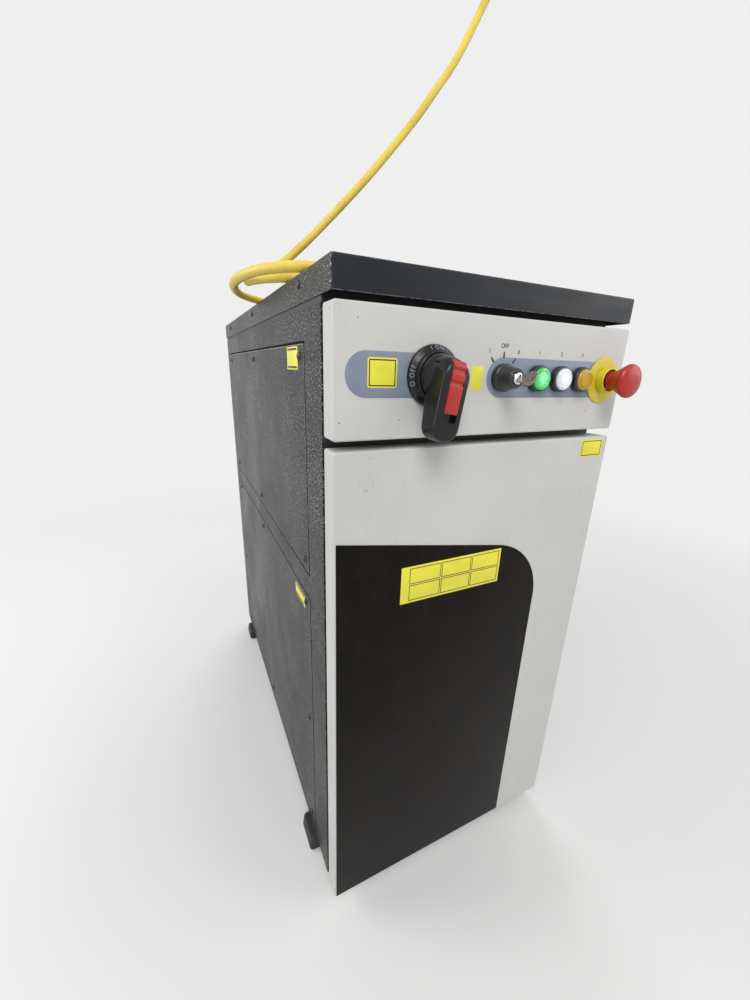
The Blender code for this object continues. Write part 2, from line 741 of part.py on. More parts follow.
def hinge_brackets():
    """Fixed hinge brackets: a back plate on the frame with two ears round the pin."""
    brackets = []
    root = SKIN_FRONT - EAR_T / 2
    ear_line = [(HINGE_X - KNUCKLE_R, root)] + arc((HINGE_X, HINGE_Y), KNUCKLE_R, 180, 360, 5)
    ear_line += [(HINGE_X + KNUCKLE_R, root)]
    bore = circle((HINGE_X, HINGE_Y), HINGE_PIN_R + FIT, 8)
    rim = 6.0
    for z in HINGE_Z:
        half = HINGE_HALF + EAR_T + rim
        plate = box((WINDOW_HALF + 2, HINGE_X + KNUCKLE_R - 2), (SKIN_FRONT - EAR_T, SKIN_FRONT + FRAME_SHEET / 2),
                    (z - half, z + half))
        ears = [sheet(ear_line, "z", z + low, z + low + EAR_T, holes=(bore,))
                for low in (-HINGE_HALF - EAR_T, HINGE_HALF)]
        brackets.append(fuse([plate, *ears]))
    return brackets


def make_hinge(axis, row):
    """One moving leaf, a knuckle, a web and a foot on the door's inner face, and its headed pin."""
    inner = SHEET + FIT
    line = [(HINGE_X - LEAF_REACH, inner), (HINGE_X + 1.0, inner)]
    line += arc((HINGE_X, HINGE_Y), KNUCKLE_R, -KNUCKLE_WRAP, 180 + KNUCKLE_WRAP, 9)
    line += [(HINGE_X - 1.7, inner + LEAF_T), (HINGE_X - LEAF_REACH, inner + LEAF_T)]
    bore = circle((HINGE_X, HINGE_Y), HINGE_PIN_R + FIT, 10)
    half = HINGE_HALF - FIT
    centre = (HINGE_X, HINGE_Y, HINGE_Z[row])
    level = ("lower", "upper")[row]
    leaf = sheet(line, "z", centre[2] - half, centre[2] + half, holes=(bore,))
    make_on(axis, f"{level}_hinge_leaf", leaf, "zinc", centre)
    top = HINGE_HALF + EAR_T + FIT
    low = -HINGE_HALF - EAR_T - 2
    pin = turned([(0, low), (HINGE_PIN_R, low), (HINGE_PIN_R, top), (KNUCKLE_R, top),
                  (KNUCKLE_R - 0.5, top + 2), (0, top + 2)], centre, (0, 0, 1), 8)
    make(f"{level}_hinge_pin", pin, "zinc", centre)


def catch_place():
    """Middle of the door catch: x and z."""
    return (-(WINDOW_HALF + FRAME_HALF) / 2, (DOOR_Z + DOOR_TOP) / 2)


def make_catch():
    """Magnetic catch on the frame's left column."""
    x, z = catch_place()
    low = SKIN_FRONT - FIT - CATCH_D
    solid = loft([[axis_point("y", p, q, y) for p, q in
                   rectangle((x - CATCH_W / 2 + inset, x + CATCH_W / 2 - inset),
                             (z - CATCH_H / 2 + inset, z + CATCH_H / 2 - inset), 3.0)]
                  for y, inset in ((SKIN_FRONT - FIT, 0.0), (low + 1, 0.0), (low, 1.0))])
    return make("door_catch", solid, "black_plastic", (x, SKIN_FRONT, z))


def make_strike(axis):
    """Turned steel strike on the door that meets the magnet."""
    x, z = catch_place()
    reach = SKIN_FRONT - FIT - CATCH_D - FIT
    low = SHEET + FIT
    profile = [(0, low), (10, low), (10, low + 2.5), (4, low + 2.5), (4, reach - 2), (8, reach - 2),
               (8, reach), (0, reach)]
    solid = turned(profile, (x, 0, z), (0, 1, 0), 14)
    return make_on(axis, "door_strike", solid, "zinc", (x, low, z))


def handle_point(u, v, w):
    """From the handle's axis: u across, v along the arm, w out of the panel, turned by the tilt."""
    x = u * math.cos(ARM_TILT) + v * math.sin(ARM_TILT)
    z = -u * math.sin(ARM_TILT) + v * math.cos(ARM_TILT)
    return Vector((x, -w, z))


def arm_loop(w, inset, top):
    """Stadium outline of the arm at one height, its upper end at the given place."""
    radius = ARM_W / 2 - inset
    low = -ARM_REACH + ARM_W / 2
    high = top - radius
    points = arc((0, high), radius, 0, 180, 9) + arc((0, low), radius, 180, 360, 9)
    return [handle_point(u, v, w) for u, v in points]


def make_escutcheon():
    """Fixed round plate of the disconnect, conical with a raised step."""
    inner = HUB_R + FIT
    profile = [(inner, FIT), (ESCUTCHEON_R, FIT), (ESCUTCHEON_R, 2), (ESCUTCHEON_R - 2.5, 5),
               (ESCUTCHEON_R - 6, 6.5), (inner + 2, ESCUTCHEON_H - 1), (inner + 1, ESCUTCHEON_H),
               (inner, ESCUTCHEON_H)]
    solid = turned(profile, (DISCONNECT_X, 0, CONTROL_Z), (0, -1, 0), 24, hollow=True)
    return make("disconnect_escutcheon", solid, "black_plastic", (DISCONNECT_X, 0, CONTROL_Z))


def make_handle(axis):
    """Pistol handle: a domed hub with a lofted arm and a channel for the padlock slide."""
    hub = turned([(0, 1), (HUB_R, 1), (HUB_R, ESCUTCHEON_H + 1), (HUB_R - 0.8, 17), (HUB_R - 3, 22),
                  (HUB_R - 7, HUB_H - 4), (HUB_R - 12, HUB_H - 1), (0, HUB_H)],
                 (0, 0, 0), (0, -1, 0), 20)
    stations = ((ARM_BACK, 1.0, ARM_TOP), (ARM_BACK + 1.5, 0.0, ARM_TOP + 1), (28.0, 0.2, ARM_TOP),
                (36.0, 0.8, ARM_TOP - 3), (41.0, 1.8, ARM_TOP - 5.5), (43.8, 3.6, ARM_TOP - 8),
                (ARM_FRONT, 6.2, ARM_TOP - 11))
    arm = loft([arm_loop(w, inset, top) for w, inset, top in stations])
    channel_floor = ARM_FRONT - CHANNEL_DEPTH
    channel = loft([[handle_point(u, v, w) for u, v in
                     rectangle((-SLIDE_W / 2 - FIT, SLIDE_W / 2 + FIT),
                               (-SLIDE_BOTTOM - SLIDE_TRAVEL - FIT, ARM_TOP + 10))]
                    for w in (channel_floor, ARM_FRONT + 5)])
    centre = (DISCONNECT_X, 0, CONTROL_Z)
    solid = placed(combine(fuse([hub, arm]), channel, "DIFFERENCE"), centre)
    return make_on(axis, "disconnect_handle", solid, "black_plastic", centre)


def make_padlock_slide(axis):
    """Red slide in the arm's channel, with two thumb grooves and a sloped upper end."""
    low = ARM_FRONT - CHANNEL_DEPTH + FIT
    top = ARM_FRONT + SLIDE_PROUD
    groove = 1.5
    half_groove = 2.6
    profile = [(-SLIDE_BOTTOM, low), (SLIDE_TOP, low), (SLIDE_TOP, low + 1.2), (SLIDE_TOP - 5, top)]
    for centre in (SLIDE_TOP - 9.5, SLIDE_TOP - 21.5):
        profile += [(centre + half_groove, top), (centre + half_groove / 2, top - groove),
                    (centre - half_groove / 2, top - groove), (centre - half_groove, top)]
    profile += [(-SLIDE_BOTTOM + 0.8, top), (-SLIDE_BOTTOM, top - 0.8)]
    solid = loft([[handle_point(u, v, w) for v, w in profile] for u in (-SLIDE_W / 2, SLIDE_W / 2)])
    placed(solid, (DISCONNECT_X, 0, CONTROL_Z))
    return make_on(axis, "padlock_slide", solid, "red_plastic", (DISCONNECT_X, -low, CONTROL_Z))


def make_shaft(axis):
    """Shaft from the handle's hub to the switch."""
    solid = rod(SHAFT_R, -1 + FIT, SHAFT_L, (DISCONNECT_X, 0, CONTROL_Z), (0, 1, 0), 12)
    return make_on(axis, "disconnect_shaft", solid, "zinc", (DISCONNECT_X, 0, CONTROL_Z))


def shelf_top():
    """Upper face of the switch bracket's shelf."""
    return UPPER_WINDOW_Z - FRAME_SHEET


def make_switch():
    """Switch body with a socket for the shaft and terminal grooves."""
    low = shelf_top() + FIT
    high = 2 * CONTROL_Z - low
    body = box((DISCONNECT_X - SWITCH_W / 2, DISCONNECT_X + SWITCH_W / 2), (SWITCH_Y, SWITCH_Y + SWITCH_D),
               (low, high))
    cuts = [rod(SHAFT_R + FIT, SWITCH_Y - 1, SHAFT_L + 2, (DISCONNECT_X, 0, CONTROL_Z), (0, 1, 0), 12)]
    pitch = SWITCH_W / 4
    for column in (-1, 0, 1):
        x = DISCONNECT_X + column * pitch
        cuts.append(box((x - 4, x + 4), (SWITCH_Y + 15, SWITCH_Y + SWITCH_D - 15), (high - 12, high + 1)))
    solid = combine(body, group(cuts), "DIFFERENCE")
    return make("disconnect_switch", solid, "black_plastic", (DISCONNECT_X, SWITCH_Y, CONTROL_Z))


def switch_shelf():
    """Bent shelf on the back of the crossbar that carries the switch."""
    front = FRAME_BACK - FRAME_SHEET / 2
    top = shelf_top()
    wall = FRAME_SHEET
    leg = top - SHELF_LEG
    line = [(front, leg), (front + 2 * wall, leg), (front + 2 * wall, top - wall),
            (SWITCH_Y + SWITCH_D, top - wall), (SWITCH_Y + SWITCH_D, top), (front, top)]
    return sheet(line, "x", DISCONNECT_X - SWITCH_W / 2 - wall, DISCONNECT_X + SWITCH_W / 2 + wall)


def make_key_switch(axis):
    """Stepped bezel, turning lock core and key."""
    centre = (KEY_X, 0, CONTROL_Z)
    bore = KEY_CORE_R + FIT
    bezel = turned([(bore, -BUTTON_TUBE_L), (BUTTON_TUBE_R, -BUTTON_TUBE_L), (BUTTON_TUBE_R, FIT),
                    (BEZEL_R, FIT), (BEZEL_R, KEY_BASE_H - 1), (BEZEL_R - 1, KEY_BASE_H),
                    (13.8, KEY_BASE_H), (11.0, KEY_CONE_H - 1), (10.2, KEY_CONE_H), (bore, KEY_CONE_H)],
                   (0, 0, 0), (0, -1, 0), TUBE_SIDES, hollow=True)
    make("key_switch_bezel", placed(fuse([bezel, *control_back()]), centre), "black_plastic", centre)
    slot_half = KEY_BLADE_W / 2 + FIT
    core = turned([(0, -12), (KEY_CORE_R, -12), (KEY_CORE_R, KEY_CORE_H - 0.8),
                   (KEY_CORE_R - 0.8, KEY_CORE_H), (0, KEY_CORE_H)], (0, 0, 0), (0, -1, 0), 16)
    across = KEY_DIRECTION
    flat = Vector((across.z, 0, -across.x))

    def key_point(a, w, t):
        return across * a + flat * t + Vector((0, -w, 0))

    slot = loft([[key_point(a, w, t) for a, w in
                  rectangle((-slot_half, slot_half), (KEY_CORE_H - KEY_BLADE_IN - FIT, KEY_CORE_H + 2))]
                 for t in (-KEY_T / 2 - FIT, KEY_T / 2 + FIT)])
    make_on(axis, "key_barrel", placed(combine(core, slot, "DIFFERENCE"), centre), "chrome", centre)
    bow_centre = KEY_OUT - KEY_BOW_R
    neck = KEY_CORE_H + FIT
    half_blade = KEY_BLADE_W / 2
    line = [(-half_blade, KEY_CORE_H - KEY_BLADE_IN), (half_blade, KEY_CORE_H - KEY_BLADE_IN),
            (half_blade, neck), (half_blade + 1.5, neck), (half_blade + 1.5, neck + 3)]
    line += arc((0, bow_centre), KEY_BOW_R, -KEY_BOW_WRAP, 180 + KEY_BOW_WRAP, 16)
    line += [(-half_blade - 1.5, neck + 3), (-half_blade - 1.5, neck), (-half_blade, neck)]
    hole = circle((0, bow_centre + 4.5), 2.4, 12)
    solid = sheet(line, "z", -KEY_T / 2, KEY_T / 2, holes=(hole,))
    for vert in solid.verts:
        vert.co = key_point(*vert.co)
    make_on(axis, "key", placed(outward(solid), centre), "zinc", centre)


def control_back():
    """Lock nut and contact block behind the panel, round a control's axis."""
    nut = sheet(circle((0, 0), NUT_AF / math.sqrt(3), 6), "y", SHEET + FIT, SHEET + FIT + NUT_H,
                holes=(circle((0, 0), BUTTON_TUBE_R - 0.6, TUBE_SIDES, 0.1),))
    start = BUTTON_TUBE_L - 0.5
    block = box((-BLOCK_W / 2, BLOCK_W / 2), (start, start + BLOCK_D), (-BLOCK_H / 2, BLOCK_H / 2))
    return nut, block


def contact_block():
    """Contact block of the stop button, with a mounting collar round the tube behind the panel."""
    inner = BUTTON_TUBE_R + FIT
    start = BUTTON_TUBE_L + FIT
    collar = turned([(inner, -start - 1), (inner + 2.5, -start - 1), (inner + 2.5, -SHEET - FIT),
                     (inner, -SHEET - FIT)], (0, 0, 0), (0, -1, 0), 16, hollow=True)
    block = box((-BLOCK_W / 2, BLOCK_W / 2), (start, start + BLOCK_D), (-BLOCK_H / 2, BLOCK_H / 2))
    return fuse([collar, block])


def button_bezel(name, x):
    """Round bezel with a threaded tube that passes the panel."""
    recess = LENS_R + FIT
    bore = 9.5
    profile = [(bore, -BUTTON_TUBE_L), (BUTTON_TUBE_R, -BUTTON_TUBE_L), (BUTTON_TUBE_R, FIT), (BEZEL_R, FIT),
               (BEZEL_R, BEZEL_H - 2.5), (BEZEL_R - 0.9, BEZEL_H - 0.6), (recess, BEZEL_H), (recess, 1.8),
               (bore, 1.8)]
    solid = fuse([turned(profile, (0, 0, 0), (0, -1, 0), TUBE_SIDES, hollow=True), *control_back()])
    centre = (x, 0, CONTROL_Z)
    return make(name, placed(solid, centre), "black_plastic", centre)


def lens(name, x, seat, finish, axis=None, step=0.0):
    """Lens or cap with its stem; seat is the height of its underside."""
    profile = [(0, -12), (9.2, -12), (9.2, seat), (LENS_R, seat), (LENS_R, LENS_H - 2), (LENS_R - 0.8, LENS_H - 0.8)]
    if step > 0:
        profile += [(LENS_R - 2.4, LENS_H - 0.6), (LENS_R - 2.7, LENS_H + step - 0.5),
                    (LENS_R - 3.6, LENS_H + step), (0, LENS_H + step)]
    else:
        profile += [(LENS_R - 3.0, LENS_H - 0.2), (0, LENS_H)]
    centre = (x, 0, CONTROL_Z)
    return make_on(axis, name, turned(profile, centre, (0, -1, 0), TUBE_SIDES), finish, centre)


def make_stop_button(push_axis):
    """Emergency stop: legend disc, collar, stem and mushroom head."""
    centre = (STOP_X, 0, CONTROL_Z)
    disc = turned([(BUTTON_TUBE_R + FIT, FIT), (LEGEND_R, FIT), (LEGEND_R, FIT + LEGEND_T - 0.4),
                   (LEGEND_R - 0.4, FIT + LEGEND_T), (BUTTON_TUBE_R + FIT, FIT + LEGEND_T)],
                  centre, (0, -1, 0), 24, hollow=True)
    make("stop_legend_disc", disc, "yellow_plastic", centre)
    seat = 2 * FIT + LEGEND_T
    recess = COLLAR_R - COLLAR_WALL
    bore = STOP_STEM_R + FIT
    floor = COLLAR_H - COLLAR_RECESS
    collar = turned([(bore, -BUTTON_TUBE_L), (BUTTON_TUBE_R, -BUTTON_TUBE_L), (BUTTON_TUBE_R, seat),
                     (COLLAR_R, seat), (COLLAR_R, COLLAR_H - 0.8), (COLLAR_R - 0.8, COLLAR_H),
                     (recess, COLLAR_H), (recess, floor), (bore, floor)], (0, 0, 0), (0, -1, 0), 16,
                    hollow=True)
    make("stop_collar", placed(collar, centre), "yellow_plastic", centre)
    make("stop_contact_block", placed(contact_block(), centre), "black_plastic", centre)
    neck_low = floor + STOP_TRAVEL + FIT
    spigot = 5.0
    spigot_top = STOP_RIM_H
    stem = turned([(0, -8), (STOP_STEM_R, -8), (STOP_STEM_R, neck_low - FIT), (spigot, neck_low - FIT),
                   (spigot, spigot_top), (0, spigot_top)], centre, (0, -1, 0), 16)
    make_on(push_axis, "stop_stem", stem, "black_plastic", centre)
    bore = spigot + FIT
    head = turned([(0, spigot_top + FIT), (bore, spigot_top + FIT), (bore, neck_low), (STOP_NECK_R, neck_low),
                   (STOP_NECK_R, STOP_NECK_H), (STOP_NECK_R + 1.8, STOP_NECK_H + 6),
                   (STOP_HEAD_R - 2.5, STOP_RIM_H - 3), (STOP_HEAD_R, STOP_RIM_H), (STOP_HEAD_R, STOP_RIM_H + 3),
                   (STOP_HEAD_R - 1.5, STOP_RIM_H + 5.6), (STOP_HEAD_R - 6, STOP_HEAD_H - 1.4),
                   (STOP_HEAD_R - 12, STOP_HEAD_H - 0.3), (0, STOP_HEAD_H)], centre, (0, -1, 0), 18)
    make_on(push_axis, "stop_head", head, "red_plastic", centre)


def make_rack(side):
    """Welded rack of one side: two corner posts with the rails that carry the modules."""
    wall = FRAME_SHEET
    posts = []
    for y in POST_Y:
        line = [(POST_OUT, y), (POST_OUT, y + POST_W), (POST_OUT - wall, y + POST_W),
                (POST_OUT - wall, y + wall), (POST_OUT - POST_W, y + wall), (POST_OUT - POST_W, y)]
        posts.append(sheet([(side * a, b) for a, b in line], "z", DOOR_Z + wall + FIT, POST_TOP))
    out = POST_OUT - wall / 2
    rails = []
    for z in RAIL_Z:
        line = [(out, z), (out, z + RAIL_H), (out - wall, z + RAIL_H), (out - wall, z + wall),
                (out - RAIL_W, z + wall), (out - RAIL_W, z)]
        rails.append(sheet([(side * a, b) for a, b in line], "y", POST_Y[0] + wall / 2, POST_Y[1] + wall / 2))
    solid = combine(group(posts), group(rails), "UNION")
    name = f"equipment_rack_{'right' if side > 0 else 'left'}"
    return make(name, solid, "zinc", (side * POST_OUT, POST_Y[0], DOOR_Z))


def module(name, level, front, height, finish="aluminium", handles=True):
    """Equipment box on a pair of rails, with two pull handles on its front."""
    low = RAIL_Z[level] + FRAME_SHEET + FIT
    half = MODULE_HALF
    body = loft([[axis_point("y", a, b, y) for a, b in
                  rectangle((-half + inset, half - inset), (low + inset, low + height - inset), 2.0, 1)]
                 for y, inset in ((front, 1.0), (front + 1, 0.0), (MODULE_BACK, 0.0))])
    solids = [body]
    if handles:
        grip_z = (low + height * 0.25, low + height * 0.75)
        for side in (-1, 1):
            x = side * (half - 30)
            bar = rod(HANDLE_BAR_R, grip_z[0], grip_z[1], (x, front - HANDLE_OUT, 0), (0, 0, 1), 6)
            feet = [rod(HANDLE_BAR_R * 0.9, -HANDLE_OUT, 2, (x, front, z), (0, 1, 0), 6)
                    for z in (grip_z[0] + 5, grip_z[1] - 5)]
            solids.append(fuse([bar, *feet]))
    return make(name, fuse(solids), finish, (0, front, low))


def make_modules():
    """Laser modules, beam combiner and power supply on their rails."""
    for level in range(MODULE_COUNT):
        module(f"laser_module_{level + 1}", level, MODULE_Y, MODULE_H)
    module("beam_combiner", MODULE_COUNT, MODULE_Y, COMBINER_H, handles=False)
    module("power_supply", MODULE_COUNT + 1, SUPPLY_Y, SUPPLY_H, "zinc", handles=False)


def make_manifold(side):
    """One cooling bar on the rear panel, with a stub for each module."""
    back = REAR_IN - FIT
    x = side * MANIFOLD_X
    bar = box((x - MANIFOLD_W / 2, x + MANIFOLD_W / 2), (back - MANIFOLD_W, back), MANIFOLD_Z)
    stubs = [rod(STUB_R, -STUB_L, 2, (x, back - MANIFOLD_W, z + MODULE_H / 2), (0, 1, 0), 12)
             for z in RAIL_Z[:MODULE_COUNT]]
    name = "return_manifold" if side > 0 else "supply_manifold"
    return make(name, fuse([bar, group(stubs)]), "aluminium", (x, back, MANIFOLD_Z[0]))


def make_water_fitting(side):
    """Hose fitting with barbs, through the rear panel into its manifold."""
    barb = WATER_R - 1.5
    profile = [(0, -SHEET), (WATER_R, -SHEET), (WATER_R, FIT), (WATER_R + 6, FIT), (WATER_R + 6, 8),
               (barb - 2, 9)]
    steps = 3
    run = (WATER_OUT - 10) / steps
    for i in range(steps):
        profile += [(barb, 10 + i * run), (barb - 2, 10 + (i + 1) * run - 0.5)]
    profile += [(barb - 3, WATER_OUT + FIT), (0, WATER_OUT + FIT)]
    place = (side * MANIFOLD_X, BODY_D, WATER_Z)
    name = "water_outlet_fitting" if side > 0 else "water_inlet_fitting"
    return make(name, turned(profile, place, (0, 1, 0), 12), "brass", place)


def make_power_gland():
    """Inlet gland for the mains cable, its bore open to the rear."""
    bore = POWER_R - 3
    profile = [(bore, -12), (POWER_R, -12), (POWER_R, FIT), (POWER_R + 6, FIT), (POWER_R + 6, 8),
               (POWER_R + 4, 9), (POWER_R + 4, POWER_OUT - 10), (POWER_R, POWER_OUT), (bore, POWER_OUT)]
    solid = turned(profile, (POWER_X, BODY_D, POWER_Z), (0, 1, 0), 14, hollow=True)
    return make("power_gland", solid, "black_plastic", (POWER_X, BODY_D, POWER_Z))


def make_sockets():
    """Plate with round signal sockets on the rear panel."""
    plate = box((SOCKET_X - 50, SOCKET_X + 50), (BODY_D + FIT, BODY_D + FIT + 2), (SOCKET_Z - 20, SOCKET_Z + 20))
    rings = [turned([(SOCKET_R - 2, 1.5), (SOCKET_R, 1.5), (SOCKET_R, 11), (SOCKET_R - 2, 11)],
                    (SOCKET_X + shift, BODY_D, SOCKET_Z), (0, 1, 0), 10, hollow=True) for shift in (-32, 0, 32)]
    solid = combine(plate, group(rings), "UNION")
    return make("interface_sockets", solid, "aluminium", (SOCKET_X, BODY_D, SOCKET_Z))


def make_fiber_gland():
    """Gland on the rear panel that the output fiber leaves from."""
    hexagon = sheet(circle((FIBER_X, FIBER_Z), 15.0, 6), "y", BODY_D + FIT, BODY_D + 8)
    neck = turned([(0, -10), (GLAND_R, -10), (GLAND_R, 7), (11, 7), (11, GLAND_OUT - 8),
                   (GLAND_R, GLAND_OUT), (0, GLAND_OUT)], (FIBER_X, BODY_D, FIBER_Z), (0, 1, 0), 20)
    return make("fiber_gland", fuse([hexagon, neck]), "brass", (FIBER_X, BODY_D, FIBER_Z))


FIBER_ROUTE = (
    (120.0, 845.5, 828.0), (120.0, 870.0, 828.0), (120.0, 900.0, 833.0), (119.0, 925.0, 850.0),
    (118.0, 936.0, 882.0), (117.0, 924.0, 915.0), (115.0, 892.0, 937.0), (112.0, 845.0, 941.0),
    (108.0, 790.0, 930.0), (103.0, 730.0, 916.0), (97.0, 665.0, 910.0), (88.0, 580.0, 909.4),
    (76.0, 490.0, 909.4), (58.0, 400.0, 909.4), (30.0, 305.0, 909.4), (-15.0, 212.0, 909.4),
    (-75.0, 140.0, 909.4), (-140.0, 102.0, 909.4), (-196.0, 100.0, 909.6), (-238.0, 138.0, 909.8),
    (-258.0, 200.0, 909.8), (-258.0, 270.0, 909.8), (-236.0, 338.0, 909.6), (-190.0, 388.0, 909.4),
    (-128.0, 400.0, 909.4), (-72.0, 372.0, 909.4), (-42.0, 318.0, 909.4), (-46.0, 252.0, 909.4),
    (-82.0, 196.0, 909.4), (-136.0, 164.0, 909.4), (-190.0, 164.0, 909.8), (-226.0, 196.0, 911.0),
    (-240.0, 242.0, 914.0), (-233.0, 286.0, 921.0), (-205.0, 314.0, 935.0), (-161.0, 322.0, 970.0),
    (-115.0, 322.0, 1013.0), (-38.0, 320.0, 1091.5), (40.0, 320.0, 1179.5), (80.0, 320.0, 1231.0),
    (118.6, 320.0, 1284.0), (164.0, 320.0, 1365.7), (182.0, 320.0, 1400.0),
)
FIBER_STEP = 36.0


def smooth_route(points, spacing):
    """Even points on a smooth curve through the route's points."""
    route = [Vector(p) for p in points]
    dense = []
    for i in range(len(route) - 1):
        before = route[max(i - 1, 0)]
        start = route[i]
        end = route[i + 1]
        after = route[min(i + 2, len(route) - 1)]
        for k in range(12):
            t = k / 12
            dense.append(0.5 * (2 * start + (end - before) * t
                                + (2 * before - 5 * start + 4 * end - after) * t ** 2
                                + (3 * start - before - 3 * end + after) * t ** 3))
    dense.append(route[-1])
    lengths = [0.0]
    for a, b in zip(dense, dense[1:]):
        lengths.append(lengths[-1] + (b - a).length)
    count = round(lengths[-1] / spacing)
    even = []
    for i in range(count + 1):
        goal = lengths[-1] * i / count
        k = max(j for j in range(len(lengths)) if lengths[j] <= goal + 1e-9)
        k = min(k, len(dense) - 2)
        share = (goal - lengths[k]) / (lengths[k + 1] - lengths[k])
        even.append(dense[k].lerp(dense[k + 1], share))
    return even


def make_fiber():
    """Armoured output fiber: a tube along its route."""
    points = smooth_route(FIBER_ROUTE, FIBER_STEP)
    curve = bpy.data.curves.new("output_fiber", "CURVE")
    curve.dimensions = "3D"
    curve.bevel_depth = FIBER_R * MM
    curve.bevel_resolution = 2
    curve.use_fill_caps = True
    spline = curve.splines.new("POLY")
    spline.points.add(len(points) - 1)
    for spot, point in zip(spline.points, points):
        spot.co = (*to_world(point), 1.0)
    curve.materials.append(finish_material("fiber_yellow"))
    item = bpy.data.objects.new("output_fiber", curve)
    bpy.context.scene.collection.objects.link(item)
    return item


def make_hanger():
    """Overhead hanger: a clamp on the fiber's end with a closed eye above it."""
    end = Vector(FIBER_ROUTE[-1])
    along = (end - Vector(FIBER_ROUTE[-2])).normalized()
    start = end + along * FIT
    clamp = turned([(0, 0), (FIBER_R + 5, 0), (FIBER_R + 6, 1), (FIBER_R + 6, 22), (FIBER_R + 2, 26), (0, 26)],
                   start, along, 14)
    eye_centre = start + along * 24 + Vector((0, 0, 16))
    ring = bmesh.new()
    wire = 3.0
    radius = 14.0
    verts = [ring.verts.new((radius + wire * math.cos(t), 0, wire * math.sin(t)))
             for t in (2 * math.pi * i / 6 for i in range(6))]
    edges = [ring.edges.new((verts[i - 1], verts[i])) for i in range(6)]
    bmesh.ops.spin(ring, geom=verts + edges, cent=(0, 0, 0), axis=(0, 0, 1), angle=2 * math.pi,
                   steps=12, use_merge=True)
    bmesh.ops.rotate(ring, cent=(0, 0, 0), matrix=Vector((0, 0, 1)).rotation_difference(
        Vector((0, 1, 0))).to_matrix(), verts=ring.verts)
    bmesh.ops.translate(ring, vec=eye_centre, verts=ring.verts)
    return make("overhead_hanger", fuse([clamp, outward(ring)]), "zinc", tuple(end))


def build():
    """Make every piece of the cabinet."""
    clear_scene()
    make_base_tray()
    make_front_frame()
    for side in (-1, 1):
        for row in (0, 1):
            make_foot(side, row)
        make_side_skin(side)
        for level in (0, 1):
            make_access_panel(side, level)
        make_rack(side)
        make_manifold(side)
        make_water_fitting(side)
    make_rear_panel()
    make_top_frame()
    make_lid()
    make_control_panel()
    door_axis = make_axis("door_axis", (HINGE_X, HINGE_Y, DOOR_Z))
    make_door(door_axis)
    make_film(door_axis)
    for row in (0, 1):
        make_hinge(door_axis, row)
    make_strike(door_axis)
    make_catch()
    make_escutcheon()
    handle_axis = make_axis("handle_axis", (DISCONNECT_X, 0, CONTROL_Z))
    make_handle(handle_axis)
    make_padlock_slide(handle_axis)
    make_shaft(handle_axis)
    make_switch()
    make_key_switch(make_axis("key_axis", (KEY_X, 0, CONTROL_Z)))
    button_bezel("start_button_bezel", START_X)
    start_axis = make_axis("start_axis", (START_X, 0, CONTROL_Z))
    lens("start_button", START_X, 1.8 + FIT + START_TRAVEL, "green_lens", start_axis)
    button_bezel("white_lamp_bezel", START_X + LAMP_PITCH)
    lens("white_lamp_lens", START_X + LAMP_PITCH, 1.8 + FIT, "white_lens")
    button_bezel("amber_lamp_bezel", START_X + 2 * LAMP_PITCH)
    lens("amber_lamp_lens", START_X + 2 * LAMP_PITCH, 1.8 + FIT, "amber_lens", step=1.6)
    make_stop_button(make_axis("stop_axis", (STOP_X, 0, CONTROL_Z)))
    make_modules()
    make_power_gland()
    make_sockets()
    make_fiber_gland()
    make_fiber()
    make_hanger()


build()
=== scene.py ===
# %% [markdown]
# # A fiber laser source cabinet
# The real object is a narrow floor cabinet of folded sheet. It has a dark lid, a pale control panel with a row
# of controls, a pale door with a black field, dark sides, and a yellow armoured cable that lies in a loop over
# the lid and rises to a hanger. This notebook keeps every folded sheet of the finished construction as it is,
# gives it a surface, and adds the fine pieces that are worth more than their solids.

# %% Load the construction
import math

import bmesh
import bpy
import numpy as np
from mathutils import Matrix, Vector


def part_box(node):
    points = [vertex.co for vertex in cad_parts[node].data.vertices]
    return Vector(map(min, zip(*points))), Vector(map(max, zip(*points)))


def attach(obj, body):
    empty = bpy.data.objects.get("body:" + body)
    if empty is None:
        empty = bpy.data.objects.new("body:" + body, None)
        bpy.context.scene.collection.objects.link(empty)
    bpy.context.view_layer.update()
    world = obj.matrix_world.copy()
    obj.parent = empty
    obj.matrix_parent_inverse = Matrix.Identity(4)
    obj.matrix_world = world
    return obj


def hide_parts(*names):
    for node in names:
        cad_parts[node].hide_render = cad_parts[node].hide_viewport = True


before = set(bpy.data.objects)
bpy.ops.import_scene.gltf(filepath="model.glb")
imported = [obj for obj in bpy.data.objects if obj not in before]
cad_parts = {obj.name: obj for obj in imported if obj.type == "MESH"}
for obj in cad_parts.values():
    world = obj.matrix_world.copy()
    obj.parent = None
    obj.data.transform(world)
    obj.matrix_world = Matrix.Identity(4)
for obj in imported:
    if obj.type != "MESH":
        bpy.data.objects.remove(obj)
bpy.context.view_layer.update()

# %% [markdown]
# ## One set of coordinates
# A cabinet maker measures in millimetres from the middle of the width, back from the front faces and up from
# the floor. So does this file, and one function turns such places into metres. Where a piece sits is read from
# the construction, so nothing is fitted by eye.

# %% Cabinet millimetres
MM = 0.001
FIT = 0.3
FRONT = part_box("door")[0].y


def at(x, y, z):
    """Cabinet millimetres to metres: x is kept, y is counted from the front faces, z from the floor."""
    x, y, z = np.broadcast_arrays(np.asarray(x, float), y, z)
    return np.stack([x * MM, FRONT + y * MM, z * MM], axis=-1)


def box_mm(node_name):
    """The lowest and highest corners of a node in cabinet millimetres."""
    return [np.array((corner.x, corner.y - FRONT, corner.z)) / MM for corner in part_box(node_name)]


def control(node_name):
    """The axis of a round control, (x, z): the middle of its box."""
    low, high = box_mm(node_name)
    return tuple(((low + high) / 2)[[0, 2]].tolist())


